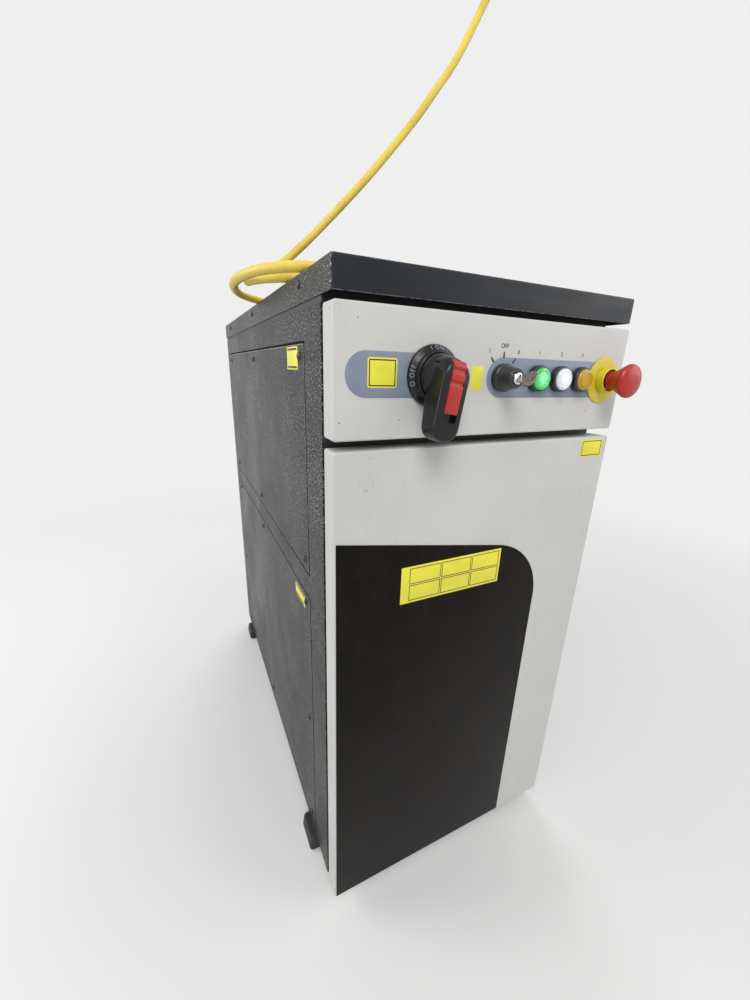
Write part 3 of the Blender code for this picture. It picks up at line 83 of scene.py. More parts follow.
HALF_W = box_mm("door")[1][0]
DEPTH = box_mm("rear_panel")[1][1]
DISCONNECT, KEY, START, WHITE, AMBER, STOP = map(control, (
    "disconnect_escutcheon", "key_barrel", "start_button", "white_lamp_lens", "amber_lamp_lens",
    "stop_legend_disc"))
print("controls at x:", [round(c[0], 1) for c in (DISCONNECT, KEY, START, WHITE, AMBER, STOP)])

# %% [markdown]
# ## The camera
# The photograph was taken close up with a wide lens, from the left front corner and a little above the
# controls. A wide lens bends nothing, but it stretches what is near the edge, so the place of the camera
# matters more than its focal length. Place, direction and lens were worked out from the panel's corners.

# %% Camera
EYE = at(-345.47, -374.87, 804.90)
LOOK = Vector((0.41805, 0.85386, -0.31008))
UP = Vector((0.10961, 0.29143, 0.95029))
SENSOR_MM, LENS_MM = 36.0, 14.386
NEAR, FAR = 0.02, 60.0


def linked(name, data):
    """A new object in the scene that holds the data."""
    item = bpy.data.objects.new(name, data)
    bpy.context.scene.collection.objects.link(item)
    return item


def make_camera():
    """Camera whose axes are the right hand, the up and the backward direction, as the matrix's columns."""
    data = bpy.data.cameras.new("camera")
    data.sensor_width, data.lens = SENSOR_MM, LENS_MM
    data.clip_start, data.clip_end = NEAR, FAR
    back = -LOOK.normalized()
    right = UP.cross(back).normalized()
    turn = Matrix((right, back.cross(right), back)).transposed().to_4x4()
    camera = linked("camera", data)
    camera.matrix_world = Matrix.Translation(Vector(EYE)) @ turn
    bpy.context.scene.camera = camera


make_camera()
print("camera at", EYE.round(3))

# %% [markdown]
# ## Surfaces from arrays
# Nearly every fine piece here is one idea: a ring of points carried through a row of stations. A turned knob
# carries a circle along its axis, a handle a long outline, and a cable a circle along a path. So one function
# makes the closed skin of an array of rings. It asks for the volume afterwards, because a skin that is inside
# out has a negative one.

# %% Skin over rings
SMOOTH_ANGLE = math.radians(34)


def finished(name, mesh):
    """Turn the faces out, shade round parts smooth and link the object at the origin."""
    solid = bmesh.new()
    solid.from_mesh(mesh)
    if solid.calc_volume(signed=True) < 0:
        bmesh.ops.reverse_faces(solid, faces=solid.faces)
    solid.to_mesh(mesh)
    solid.free()
    mesh.shade_smooth()
    mesh.set_sharp_from_angle(angle=SMOOTH_ANGLE)
    return linked(name, mesh)


def ring_faces(stations, around, start=0, loop=False):
    """Faces between neighbouring rings: corner (i, j) is number i * around + j, and j wraps."""
    i = np.arange(stations if loop else stations - 1)[:, None]
    j = np.arange(around)[None, :]
    ahead, above = (j + 1) % around, (i + 1) % stations
    corners = [i * around + j, i * around + ahead, above * around + ahead, above * around + j]
    faces = (np.stack(np.broadcast_arrays(*corners), axis=-1).reshape(-1, 4) + start).tolist()
    if not loop:
        first = range(start, start + around)
        faces += [list(first)[::-1], [corner + (stations - 1) * around for corner in first]]
    return faces


def skin(name, *shells, loop=False):
    """One object from arrays of rings (stations, around, 3) in metres. With loop the last ring meets the
    first, as on a hollow ring; without it both ends are capped."""
    faces, start = [], 0
    for stations, around, _ in (rings.shape for rings in shells):
        faces += ring_faces(stations, around, start, loop)
        start += stations * around
    mesh = bpy.data.meshes.new(name)
    mesh.from_pydata(np.concatenate([rings.reshape(-1, 3) for rings in shells]), [], faces)
    mesh.update()
    return finished(name, mesh)


print("a ring of 4 corners through 3 stations has", len(ring_faces(3, 4)), "faces")

# %% [markdown]
# ## Eased corners
# No real edge is sharp. A moulded bezel has a radius of half a millimetre, which is what catches the light. So
# profiles are written as plain corners, and one function cuts each corner back and bridges it with a curve.

# %% Profiles and outlines
SHORT_SIDE = 0.45


def eased(points, radius, steps=4, closed=False):
    """Each corner P with neighbours A and B becomes the curve (1-s)^2 a + 2 s (1-s) P + s^2 b, where a and b
    lie the radius away from P towards A and B, or 45% of the way on a short side."""
    p = np.asarray(points, float)
    if closed:
        p = np.vstack([p[-1:], p, p[:1]])
    before, corner, after = p[:-2], p[1:-1], p[2:]
    back, ahead = before - corner, after - corner
    back_length, ahead_length = (np.linalg.norm(side, axis=1, keepdims=True) for side in (back, ahead))
    cut = np.minimum(radius, SHORT_SIDE * np.minimum(back_length, ahead_length))
    a = (corner + back / back_length * cut)[:, None]
    b = (corner + ahead / ahead_length * cut)[:, None]
    s = np.linspace(0, 1, steps + 1)[None, :, None]
    curve = ((1 - s) ** 2 * a + 2 * s * (1 - s) * corner[:, None] + s ** 2 * b).reshape(-1, 2)
    return curve if closed else np.vstack([p[:1], curve, p[-1:]])


def stadium(low, high, radius, steps):
    """Outline with two straight sides and round ends: x from low to high, half a circle at each end."""
    t = np.linspace(-math.pi / 2, math.pi / 2, steps)
    right = np.stack([high - radius + radius * np.cos(t), radius * np.sin(t)], axis=-1)
    return np.vstack([right, [[low + radius, 0.0]] - (right - [[high - radius, 0.0]])])


def slab(low, high, radius=0.0):
    """Corners of a rectangle from low (a, b) to high (a, b), eased by the radius."""
    (a0, b0), (a1, b1) = low, high
    corners = [(a0, b0), (a1, b0), (a1, b1), (a0, b1)]
    return eased(corners, radius, 5, closed=True) if radius else np.asarray(corners, float)


def unit(vectors):
    """Each row divided by its length."""
    return vectors / np.maximum(np.linalg.norm(vectors, axis=-1, keepdims=True), 1e-9)


def inset(outline, amount):
    """Move each point of a counter-clockwise outline inwards along the mean normal of its two sides."""
    side = unit(np.roll(outline, -1, axis=0) - outline)
    normal = np.stack([-side[:, 1], side[:, 0]], axis=-1)
    return outline + unit(normal + np.roll(normal, 1, axis=0)) * amount


print("an eased square has", len(slab((0, 0), (10, 10), 2)), "corners")

# %% Turned pieces and plates


def round_axis(direction):
    """The axis and two directions at right angles to it and to each other."""
    d = unit(np.asarray(direction, float))
    side = unit(np.cross(d, (1.0, 0.0, 0.0) if abs(d[0]) < 0.9 else (0.0, 0.0, 1.0)))
    return d, side, np.cross(d, side)


def spun(profile, centre=(0, 0, 0), direction=(0, -1, 0), sides=72):
    """Rings of a lathe: the point at radius r and height h is centre + h d + r (u cos t + v sin t)."""
    profile = np.asarray(profile, float)
    d, u, v = round_axis(direction)
    t = np.linspace(0, 2 * math.pi, sides, endpoint=False)
    circle = np.cos(t)[:, None] * u + np.sin(t)[:, None] * v
    local = profile[:, 0, None, None] * circle + profile[:, 1, None, None] * d
    return at(*np.moveaxis(local + np.asarray(centre, float), -1, 0))


def turned(profile, axis, sides=72):
    """A lathe on a control's axis, its heights counted out of the panel."""
    return spun(profile, (axis[0], 0, axis[1]), sides=sides)


def plate(outline, low, high, edge, place):
    """Rings of a plate: the outline at both heights, drawn in by the edge where the faces turn over. The
    function place turns (a, b, height) into metres."""
    stations = [(edge, low), (0.0, low + edge), (0.0, high - edge), (0.3 * edge, high - 0.3 * edge),
                (edge, high)]
    return np.stack([place(*inset(outline, amount).T, np.full(len(outline), h)) for amount, h in stations])


print("lathe test:", spun([(5, 0), (5, 10)]).shape)

# %% Places on the faces


def on_front(a, b, height):
    """a is x, b is z, and height is out of the front faces."""
    return at(a, -height, b)


def on_left(a, b, height):
    """a is y, b is z, and height is out of the left side."""
    return at(-HALF_W - height, a, b)


def on_right(a, b, height):
    """a is y, b is z, and height is out of the right side."""
    return at(HALF_W + height, a, b)


def carried(rings, places):
    """Copies of rings that were made at the cabinet's origin, one at each place in metres."""
    return list(rings[None] + (np.atleast_2d(places) - at(0, 0, 0))[:, None, None])


print("left side at x:", round(float(on_left(0, 0, 0)[0]), 4), "m")

# %% [markdown]
# ## Node blocks
# A flat colour looks like a drawing. A real coat changes a little from place to place, is rougher where hands
# have been, has a grain that the light runs over, and is thin at its edges. Each finish is mixed from the same
# few blocks: a pattern on Object coordinates in metres, a range that stretches it, a mix of two colours and a
# bump. The folded sheets have sharp edges, so a Bevel node rounds the normal there, and where it differs from
# the true normal there is an edge, which is where paint wears.

# %% Blocks on sockets


def node(tree, kind, **values):
    """Add a node; values name its inputs, or its own settings where it has no such input."""
    made = tree.nodes.new("ShaderNode" + kind)
    for key, value in values.items():
        label = key.replace("_", " ")
        if label in made.inputs:
            made.inputs[label].default_value = value
        else:
            setattr(made, key, value)
    return made


def wire(tree, *pairs):
    """Link each pair of sockets."""
    for source, goal in pairs:
        tree.links.new(source, goal)


def between(tree, value, low, high, first=0.0, last=1.0):
    """Value from low to high becomes first to last, with soft ends."""
    made = node(tree, "MapRange", interpolation_type="SMOOTHSTEP", From_Min=low, From_Max=high, To_Min=first,
                To_Max=last)
    wire(tree, (value, made.inputs["Value"]))
    return made.outputs[0]


def calc(tree, operation, first, second):
    """One step of arithmetic on sockets or numbers."""
    made = node(tree, "Math", operation=operation)
    for slot, value in zip(made.inputs, (first, second)):
        if isinstance(value, (int, float)):
            slot.default_value = value
        else:
            wire(tree, (value, slot))
    return made.outputs[0]


print("blocks so far:", node.__name__, between.__name__, calc.__name__)

# %% Mixes of colours


def colours(tree, factor, first, second):
    """Mix of two colours, each a triple or a socket."""
    made = node(tree, "Mix", data_type="RGBA")
    wire(tree, (factor, made.inputs[0]))
    for slot, value in ((made.inputs[6], first), (made.inputs[7], second)):
        if isinstance(value, tuple):
            slot.default_value = (*value, 1.0)
        else:
            wire(tree, (value, slot))
    return made.outputs[2]


def paler(colour, factor):
    """A colour times a factor, kept at most 1."""
    return tuple(min(1.0, c * factor) for c in colour)


def uneven(tree, value, colour, spread):
    """The colour, darker and paler by the spread as the value runs through its middle."""
    return colours(tree, between(tree, value, 0.3, 0.7), paler(colour, 1 - spread), paler(colour, 1 + spread))


print("half as bright as 0.4, 0.6, 0.8:", paler((0.4, 0.6, 0.8), 0.5))

# %% Patterns, relief and edges


def spot(tree, stretch=(1, 1, 1), turn=(0, 0, 0), place=(0, 0, 0)):
    """Object coordinates counted from a place, turned, and divided by the stretch."""
    source = node(tree, "TexCoord")
    mapping = node(tree, "Mapping", vector_type="TEXTURE", Location=place, Rotation=turn, Scale=stretch)
    wire(tree, (source.outputs["Object"], mapping.inputs["Vector"]))
    return mapping.outputs["Vector"]


def reach(tree, **where):
    """Distance from a place, in the units of the stretch."""
    far = node(tree, "VectorMath", operation="LENGTH")
    wire(tree, (spot(tree, **where), far.inputs[0]))
    return far.outputs["Value"]


def pattern(tree, kind, size, stretch=(1, 1, 1), turn=(0, 0, 0), **values):
    """Noise or Voronoi whose features are about size millimetres, turned and stretched on its axes."""
    made = node(tree, "Tex" + kind, Scale=1.0 / (size * MM), **values)
    wire(tree, (spot(tree, stretch, turn), made.inputs["Vector"]))
    return made.outputs[0]


def relief(tree, height, depth, under=None):
    """Bump of a height from 0 to 1 that is depth millimetres deep, on top of another normal."""
    made = node(tree, "Bump", Strength=1.0, Distance=depth * MM)
    wire(tree, (height, made.inputs["Height"]))
    if under is not None:
        wire(tree, (under, made.inputs["Normal"]))
    return made.outputs[0]


print("a pattern of 2 mm has scale", 1 / (2 * MM))

# %% Rounded edges and materials


def edges(tree, radius):
    """The rounded normal of sharp edges, and a mask of them: 1 less the dot of that and the true normal."""
    soft = node(tree, "Bevel", samples=4, Radius=radius * MM)
    true = node(tree, "NewGeometry")
    dot = node(tree, "VectorMath", operation="DOT_PRODUCT")
    wire(tree, (soft.outputs[0], dot.inputs[0]), (true.outputs["Normal"], dot.inputs[1]))
    return soft.outputs[0], calc(tree, "SUBTRACT", 1.0, dot.outputs["Value"])


def new_material(name, **constants):
    """A material with its tree and its Principled shader, on which constants set inputs that never vary."""
    material = bpy.data.materials.new(name)
    material.use_nodes = True
    shader = material.node_tree.nodes["Principled BSDF"]
    for key, value in constants.items():
        shader.inputs[key.replace("_", " ")].default_value = value
    return material, material.node_tree, shader


def surface(tree, shader, shade, rough, normal):
    """Link what varies over the surface."""
    wire(tree, (shade, shader.inputs["Base Color"]), (rough, shader.inputs["Roughness"]),
         (normal, shader.inputs["Normal"]))


print("materials are made by", new_material.__name__, "and linked by", surface.__name__)

# %% [markdown]
# ## Light and floor
# A product is easiest to judge in even light. Four broad lamps hang round the cabinet and a pale room fills the
# rest, at a level at which a colour looks about as it was mixed. The floor fades into the background at a
# distance, which is done in its material: only the camera and mirrors see that fade, so it lights nothing.

# %% Room and floor
BACKDROP = (0.86, 0.86, 0.8557, 1)
ROOM_FILL = 0.52
FLOOR_GREY = (0.72, 0.72, 0.715, 1)
FLOOR_HALF = 30.0
FADE_NEAR, FADE_FAR = 0.7, 2.4


def blend(tree, factor, first, second, out):
    """One shader gives way to another as the factor grows."""
    mix = node(tree, "MixShader")
    wire(tree, (factor, mix.inputs[0]), (first.outputs[0], mix.inputs[1]), (second.outputs[0], mix.inputs[2]),
         (mix.outputs[0], out.inputs["Surface"]))


def seen_ray(tree):
    """1 for camera, glossy and transmission rays, 0 for the rays that light things."""
    rays = node(tree, "LightPath").outputs
    camera, glossy, through = (rays[f"Is {kind} Ray"] for kind in ("Camera", "Glossy", "Transmission"))
    return calc(tree, "MAXIMUM", calc(tree, "MAXIMUM", camera, glossy), through)


def make_world():
    """A pale room: one strength for what is seen, a lower one for what lights."""
    world = bpy.data.worlds.new("room")
    bpy.context.scene.world = world
    world.use_nodes = True
    tree = world.node_tree
    tree.nodes.clear()
    seen = node(tree, "Background", Color=BACKDROP, Strength=1.0)
    fill = node(tree, "Background", Color=(1, 1, 1, 1), Strength=ROOM_FILL)
    blend(tree, seen_ray(tree), fill, seen, node(tree, "OutputWorld"))


def make_floor():
    """Flat floor that fades to the backdrop's grey with its distance from the cabinet."""
    mesh = bpy.data.meshes.new("floor")
    corners = [(a * FLOOR_HALF, b * FLOOR_HALF, 0) for a, b in ((-1, -1), (1, -1), (1, 1), (-1, 1))]
    mesh.from_pydata(corners, [], [(0, 1, 2, 3)])
    material, tree, shader = new_material("pale_floor", Base_Color=FLOOR_GREY, Roughness=0.7)
    fade = calc(tree, "MULTIPLY", between(tree, reach(tree), FADE_NEAR, FADE_FAR), seen_ray(tree))
    glow = node(tree, "Emission", Color=BACKDROP, Strength=1.0)
    blend(tree, fade, shader, glow, tree.nodes["Material Output"])
    mesh.materials.append(material)
    linked("floor", mesh)


make_world()
make_floor()
print("floor fades from", FADE_NEAR, "to", FADE_FAR, "m")

# %% Lamps
LAMP_TARGET = (0.0, 0.0, 0.55)
LAMPS = (("key_lamp", (-1.0, -2.0, 2.7), 1.3, 50.0), ("fill_lamp", (1.9, -1.5, 1.7), 1.6, 14.0),
         ("side_lamp", (-2.3, 0.9, 1.5), 1.2, 28.0), ("back_lamp", (0.9, 2.3, 2.2), 1.6, 24.0))


def make_lamp(name, place, size, watts):
    """Square area lamp at a place, turned to the middle of the cabinet."""
    data = bpy.data.lights.new(name, "AREA")
    data.size, data.energy = size, watts
    lamp = linked(name, data)
    lamp.location = place
    lamp.rotation_mode = "QUATERNION"
    lamp.rotation_quaternion = (Vector(LAMP_TARGET) - Vector(place)).to_track_quat("-Z", "Y")


for row in LAMPS:
    make_lamp(*row)
bpy.context.scene.view_settings.view_transform = "Standard"
print("lamps:", [row[0] for row in LAMPS])

# %% [markdown]
# ## The output fiber
# The yellow cable is an optical fiber in a stainless spiral armour with a plastic jacket. It leaves the gland
# at the back, humps forwards over the rear edge of the lid, lies in a loop and a half that overhangs the left
# edge, and rises over the cabinet to a hanger. Its route is a list of places, the same as in the
# construction, and a Catmull-Rom spline runs smoothly through them. The armour shows through the jacket as fine
# rings, so the radius swells and falls along the way by a cosine.

# %% Cable route
FIBER_ROUTE = (
    (120.0, 845.5, 828.0), (120.0, 870.0, 828.0), (120.0, 900.0, 833.0), (119.0, 925.0, 850.0),
    (118.0, 936.0, 882.0), (117.0, 924.0, 915.0), (115.0, 892.0, 937.0), (112.0, 845.0, 941.0),
    (108.0, 790.0, 930.0), (103.0, 730.0, 916.0), (97.0, 665.0, 910.0), (88.0, 580.0, 909.4),
    (76.0, 490.0, 909.4), (58.0, 400.0, 909.4), (30.0, 305.0, 909.4), (-15.0, 212.0, 909.4),
    (-75.0, 140.0, 909.4), (-140.0, 102.0, 909.4), (-196.0, 100.0, 909.6), (-238.0, 138.0, 909.8),
    (-258.0, 200.0, 909.8), (-258.0, 270.0, 909.8), (-236.0, 338.0, 909.6), (-190.0, 388.0, 909.4),
    (-128.0, 400.0, 909.4), (-72.0, 372.0, 909.4), (-42.0, 318.0, 909.4), (-46.0, 252.0, 909.4),
    (-82.0, 196.0, 909.4), (-136.0, 164.0, 909.4), (-190.0, 164.0, 909.8), (-226.0, 196.0, 911.0),
    (-240.0, 242.0, 914.0), (-233.0, 286.0, 921.0), (-205.0, 314.0, 935.0), (-161.0, 322.0, 970.0),
    (-115.0, 322.0, 1013.0), (-38.0, 320.0, 1091.5), (40.0, 320.0, 1179.5), (80.0, 320.0, 1231.0),
    (118.6, 320.0, 1284.0), (164.0, 320.0, 1365.7), (182.0, 320.0, 1400.0),
)
FIBER_R = 6.0
RIB_DEPTH, RIB_PITCH = 0.16, 3.3
RING_STEP = 0.82
STEADY = np.array([0.75, 0.45, -0.48])


def spline(points, spacing):
    """Catmull-Rom through the points: between b and c, with neighbours a and d, the place at share s is half
    of 2b + (c-a)s + (2a-5b+4c-d)s^2 + (3b-a-3c+d)s^3. Then places at even steps of its length are read off."""
    p = np.asarray(points, float)
    p = np.vstack([p[:1], p, p[-1:]])
    a, b, c, d = (p[k:len(p) - 3 + k][:, None] for k in range(4))
    s = np.linspace(0, 1, 40, endpoint=False)[None, :, None]
    bend, twist = 2 * a - 5 * b + 4 * c - d, 3 * b - a - 3 * c + d
    dense = 0.5 * (2 * b + (c - a) * s + bend * s ** 2 + twist * s ** 3)
    dense = np.vstack([dense.reshape(-1, 3), p[-1:]])
    run = np.concatenate([[0.0], np.cumsum(np.linalg.norm(np.diff(dense, axis=0), axis=1))])
    even = np.linspace(0, run[-1], int(round(run[-1] / spacing)) + 1)
    return np.stack([np.interp(even, run, dense[:, k]) for k in range(3)], axis=-1), even


def tube(path, radius, around=16):
    """Rings across a path: at each place a circle in the plane of two directions at right angles to the
    tangent, the first of them the cross product of the tangent and a direction that the path never takes."""
    tangent = unit(np.gradient(path, axis=0))
    u = unit(np.cross(tangent, STEADY))
    v = np.cross(tangent, u)
    t = np.linspace(0, 2 * math.pi, around, endpoint=False)
    circle = u[:, None] * np.cos(t)[:, None] + v[:, None] * np.sin(t)[:, None]
    rings = path[:, None] + circle * np.broadcast_to(radius, len(path))[:, None, None]
    return at(*np.moveaxis(rings, -1, 0))


def ripple(turns):
    """A wave from 0 to 1 and back in each turn."""
    return 0.5 - 0.5 * np.cos(2 * math.pi * turns)


route, along = spline(FIBER_ROUTE, RING_STEP)
output_fiber = skin("output_fiber_cable", tube(route, FIBER_R - RIB_DEPTH * ripple(along / RIB_PITCH)))

# %% [markdown]
# ## The hanger
# What holds the cable above the photograph's edge isn't in it, so it is finished plainly: a clamp on the end
# and a round eye to hang it by. The eye is a ring in both directions, so its rings meet and nothing is capped.

# %% Hanger at the cable's end
CLAMP_L, CLAMP_R = 26.0, FIBER_R + 6.0
EYE_R, EYE_WIRE = 14.0, 3.0
end = np.array(FIBER_ROUTE[-1])
rise = unit(end - np.array(FIBER_ROUTE[-2]))


def torus(centre, ring, wire_r, normal, around=64, small=20):
    """Rings of a round eye: a small circle of the wire carried round a large one."""
    d, u, v = round_axis(normal)
    t = np.linspace(0, 2 * math.pi, around, endpoint=False)[:, None]
    s = np.linspace(0, 2 * math.pi, small, endpoint=False)[None, :]
    out = np.cos(t)[..., None] * u + np.sin(t)[..., None] * v
    local = out * (ring + wire_r * np.cos(s))[..., None] + (wire_r * np.sin(s))[..., None] * d
    return at(*np.moveaxis(local + np.asarray(centre), -1, 0))


clamp = eased([(1.0, 0), (CLAMP_R, 0), (CLAMP_R, 22), (FIBER_R + 2, CLAMP_L), (1.0, CLAMP_L)], 1.0)
hanger_clamp = skin("hanger_clamp", spun(clamp, end + rise * FIT, rise, 48))
eye_centre = end + rise * (CLAMP_L - 2 + FIT) + np.array([0, 0, EYE_R + EYE_WIRE - 1])
hanger_eye = skin("hanger_eye", torus(eye_centre, EYE_R, EYE_WIRE, (0, 1, 0)), loop=True)
print("hanger at", end)

# %% [markdown]
# ## Powder coats
# One recipe makes all powder coats, because on the real cabinet they are one process with another powder: broad
# clouds, a grain, chipped edges, and on the dark sides pale flecks on the coarse tops, which are painted glints
# that stand in for their sparkle. The pale panel also carries what years in a workshop leave on it.

# %% Painted glints, streaks and dirt
SMUDGE_AT, SMUDGE_HALF, SMUDGE_TURN = (-168.5, 689.0), (31.0, 10.0), -0.745


def painted_glints(tree, grain):
    """Mask of painted glints on the grain's tops, which stand in for their sparkle: a noise of the grain's size
    is cut just above its middle, and a patchy noise of 90 mm paints more glints in some places than in others."""
    tops = between(tree, pattern(tree, "Noise", 0.8 * grain, Detail=1.0, Roughness=0.4), 0.59, 0.66)
    brighter = between(tree, pattern(tree, "Noise", 90.0, Detail=3.0), 0.32, 0.68, 0.35, 0.9)
    return calc(tree, "MULTIPLY", tops, brighter)


def streaked(tree, shade, gloss, colour, amount):
    """Pale rubbed streaks that hang down, in some zones only. They are rougher than the coat."""
    rub = pattern(tree, "Noise", 9.0, stretch=(1, 1, 16), turn=(0.5, 0, 0), Detail=5.0, Roughness=0.7)
    zone = between(tree, pattern(tree, "Noise", 200.0, Detail=2.0), 0.45, 0.7)
    rub = calc(tree, "MULTIPLY", between(tree, rub, 0.56, 0.74, 0, amount), zone)
    gloss = calc(tree, "ADD", gloss, calc(tree, "MULTIPLY", rub, 0.3))
    return colours(tree, rub, shade, paler(colour, 4.0)), gloss


def dirtied(tree, shade, dirt, specks):
    """Specks of dirt in a few Voronoi cells, a faint haze, and one dotted smudge where something dirty brushed
    past: dots inside an ellipse on the front."""
    few = between(tree, pattern(tree, "Noise", 55.0, Detail=2.0), 0.5, 0.6)
    speck = between(tree, pattern(tree, "Voronoi", 17.0, Randomness=1.0), 0.035, 0.075, specks, 0.0)
    shade = colours(tree, calc(tree, "MULTIPLY", speck, few), shade, dirt)
    haze = between(tree, pattern(tree, "Noise", 70.0, stretch=(1, 1, 1.8), Detail=8.0, Roughness=0.7), 0.5, 0.8)
    shade = colours(tree, calc(tree, "MULTIPLY", haze, 0.16 * specks), shade, dirt)
    dots = between(tree, pattern(tree, "Voronoi", 2.6, Randomness=1.0), 0.16, 0.34, 0.75, 0.0)
    broken = between(tree, pattern(tree, "Noise", 6.0, Detail=3.0), 0.46, 0.58)
    ellipse = reach(tree, stretch=(SMUDGE_HALF[0] * MM, 1.0, SMUDGE_HALF[1] * MM), turn=(0, SMUDGE_TURN, 0),
                    place=tuple(at(SMUDGE_AT[0], 0, SMUDGE_AT[1]).tolist()))
    inside = between(tree, ellipse, 0.35, 1.0, 1.0, 0.0)
    return colours(tree, calc(tree, "MULTIPLY", calc(tree, "MULTIPLY", dots, broken), inside), shade, dirt)


print("smudge at", SMUDGE_AT, "mm, half as large as", SMUDGE_HALF)

# %% Coats
PANEL_GREY = (0.525, 0.521, 0.500)
COAT_GREY = (0.0105, 0.0113, 0.0132)
PAINTED_GLINT_GREY = (0.42, 0.43, 0.44)


def rubbed(tree, shade, bare, wear, radius, mask=(0.04, 0.22), chip=(7.0, 0.7, 0.46, 0.6)):
    """Bare edges broken up by a noise: its size, roughness and range are the chip. Also the rounded normal."""
    normal, edge_mask = edges(tree, radius)
    size, rough, low, high = chip
    chips = between(tree, pattern(tree, "Noise", size, Detail=6.0, Roughness=rough), low, high)
    worn = calc(tree, "MULTIPLY", between(tree, edge_mask, *mask, 0, wear), chips)
    return colours(tree, worn, shade, bare), normal


def coat(name, colour, roughness, grain, depth, spread=0.12, worn=(0.45, 0.45, 0.46), wear=0.5, edge=0.8,
         dirt=None, specks=0.0, streaks=0.0, glint_colour=None, shine=0.5):
    """Powder coat: broad and fine noise in colour and roughness, and a grain of the given size and depth in
    millimetres, with painted glints on the grain's tops, streaks, dirt and bare edges as asked."""
    material, tree, shader = new_material(name, Specular_IOR_Level=shine)
    broad = pattern(tree, "Noise", 140.0, Detail=4.0, Roughness=0.6)
    fine = pattern(tree, "Noise", grain, Detail=3.0, Roughness=0.55)
    shade = uneven(tree, broad, colour, spread)
    shade = colours(tree, between(tree, fine, 0.56, 0.72, 0, 0.5), shade, paler(colour, 1 + 2.5 * spread))
    gloss = calc(tree, "ADD", between(tree, broad, 0.3, 0.7, roughness - 0.05, roughness + 0.07),
                 between(tree, fine, 0.3, 0.7, -0.04, 0.05))
    # Pale flecks on the grain's tops are painted glints, standing in for the sparkle of the coarse coat.
    if glint_colour:
        shade = colours(tree, painted_glints(tree, grain), shade, glint_colour)
    if streaks:
        shade, gloss = streaked(tree, shade, gloss, colour, streaks)
    if dirt:
        shade = dirtied(tree, shade, dirt, specks)
    shade, normal = rubbed(tree, shade, worn, wear, edge)
    surface(tree, shader, shade, calc(tree, "MAXIMUM", gloss, 0.05), relief(tree, fine, depth, normal))
    return material


panel_grey = coat("panel_grey_coat", PANEL_GREY, 0.42, 1.4, 0.035, spread=0.035, worn=(0.36, 0.35, 0.34),
                  wear=0.75, edge=0.7, dirt=(0.13, 0.105, 0.08), specks=0.85)
# The dark side and rear coats carry pale painted glints on their grain.
side_coat = coat("side_textured_coat", COAT_GREY, 0.31, 2.6, 1.8, spread=0.18, wear=0.6, streaks=0.3,
                 glint_colour=PAINTED_GLINT_GREY, shine=0.12)
rear_coat = coat("rear_textured_coat", COAT_GREY, 0.26, 2.3, 0.6, spread=0.2, wear=0.4,
                 glint_colour=paler(PAINTED_GLINT_GREY, 0.3), shine=0.3)
frame_black = coat("frame_black_coat", (0.016, 0.016, 0.018), 0.5, 1.2, 0.06, spread=0.2, wear=0.35)
print("coats:", panel_grey.name, side_coat.name, rear_coat.name, frame_black.name)

# %% [markdown]
# ## The lid has two skins
# The lid's front skirt is smooth satin, and its sides have the coarse coat of the side panels. It is still one
# folded tray, so one material holds both, and the direction of the face chooses: the front skirt is the only
# part whose normal points straight at the front.

# %% Lid coat
SATIN_DARK, SATIN_PALE, SATIN_SMEAR = (0.010, 0.0125, 0.0155), (0.017, 0.020, 0.0245), (0.034, 0.037, 0.042)
LID_GRAIN, SIDE_ROUGH = 2.2, 0.42


def lid_finish():
    """Textured coat with a smooth satin front. Grain and gloss are mixed by the normal's part along -Y, and
    the front corner edges are rubbed bright."""
    material, tree, shader = new_material("lid_coat", Specular_IOR_Level=0.24)
    axes = node(tree, "SeparateXYZ")
    wire(tree, (node(tree, "NewGeometry").outputs["Normal"], axes.inputs[0]))
    front = between(tree, axes.outputs["Y"], -0.9, -0.6, 1.0, 0.0)
    fine = pattern(tree, "Noise", 2.1, Detail=3.0, Roughness=0.55)
    broad = between(tree, pattern(tree, "Noise", 120.0, Detail=4.0, Roughness=0.6), 0.3, 0.7)
    smear = pattern(tree, "Noise", 16.0, stretch=(9, 1, 1), Detail=5.0, Roughness=0.65)
    coarse = colours(tree, broad, paler(COAT_GREY, 0.8), paler(COAT_GREY, 1.6))
    # Pale flecks on the sides' grain: painted glints.
    coarse = colours(tree, painted_glints(tree, LID_GRAIN), coarse, paler(PAINTED_GLINT_GREY, 1.1))
    satin = colours(tree, broad, SATIN_DARK, SATIN_PALE)
    satin = colours(tree, between(tree, smear, 0.55, 0.75, 0, 0.35), satin, SATIN_SMEAR)
    shade = colours(tree, front, coarse, satin)
    gloss = calc(tree, "MULTIPLY", front, between(tree, smear, 0.35, 0.7, -0.11, 0.02))
    shade, normal = rubbed(tree, shade, (0.5, 0.5, 0.5), 0.9, 1.6, (0.03, 0.16), (8.0, 0.75, 0.4, 0.56))
    height = calc(tree, "MULTIPLY", fine, between(tree, front, 0.0, 1.0, 1.0, 0.03))
    surface(tree, shader, shade, calc(tree, "ADD", gloss, SIDE_ROUGH), relief(tree, height, 0.7, normal))
    return material


lid_coat = lid_finish()
print("lid:", lid_coat.name)

# %% [markdown]
# ## Plastics and metals
# The bezels, the handle and the feet are moulded, and the fittings are plated, brushed or turned. A picture
# of scratches would stretch and repeat on such small pieces, so both kinds are mixed from noise. Moulded
# pieces get a fine grain and pale scuffs, and metals get lines that are stretched along the brushing.

# %% Plastics, rubber and film


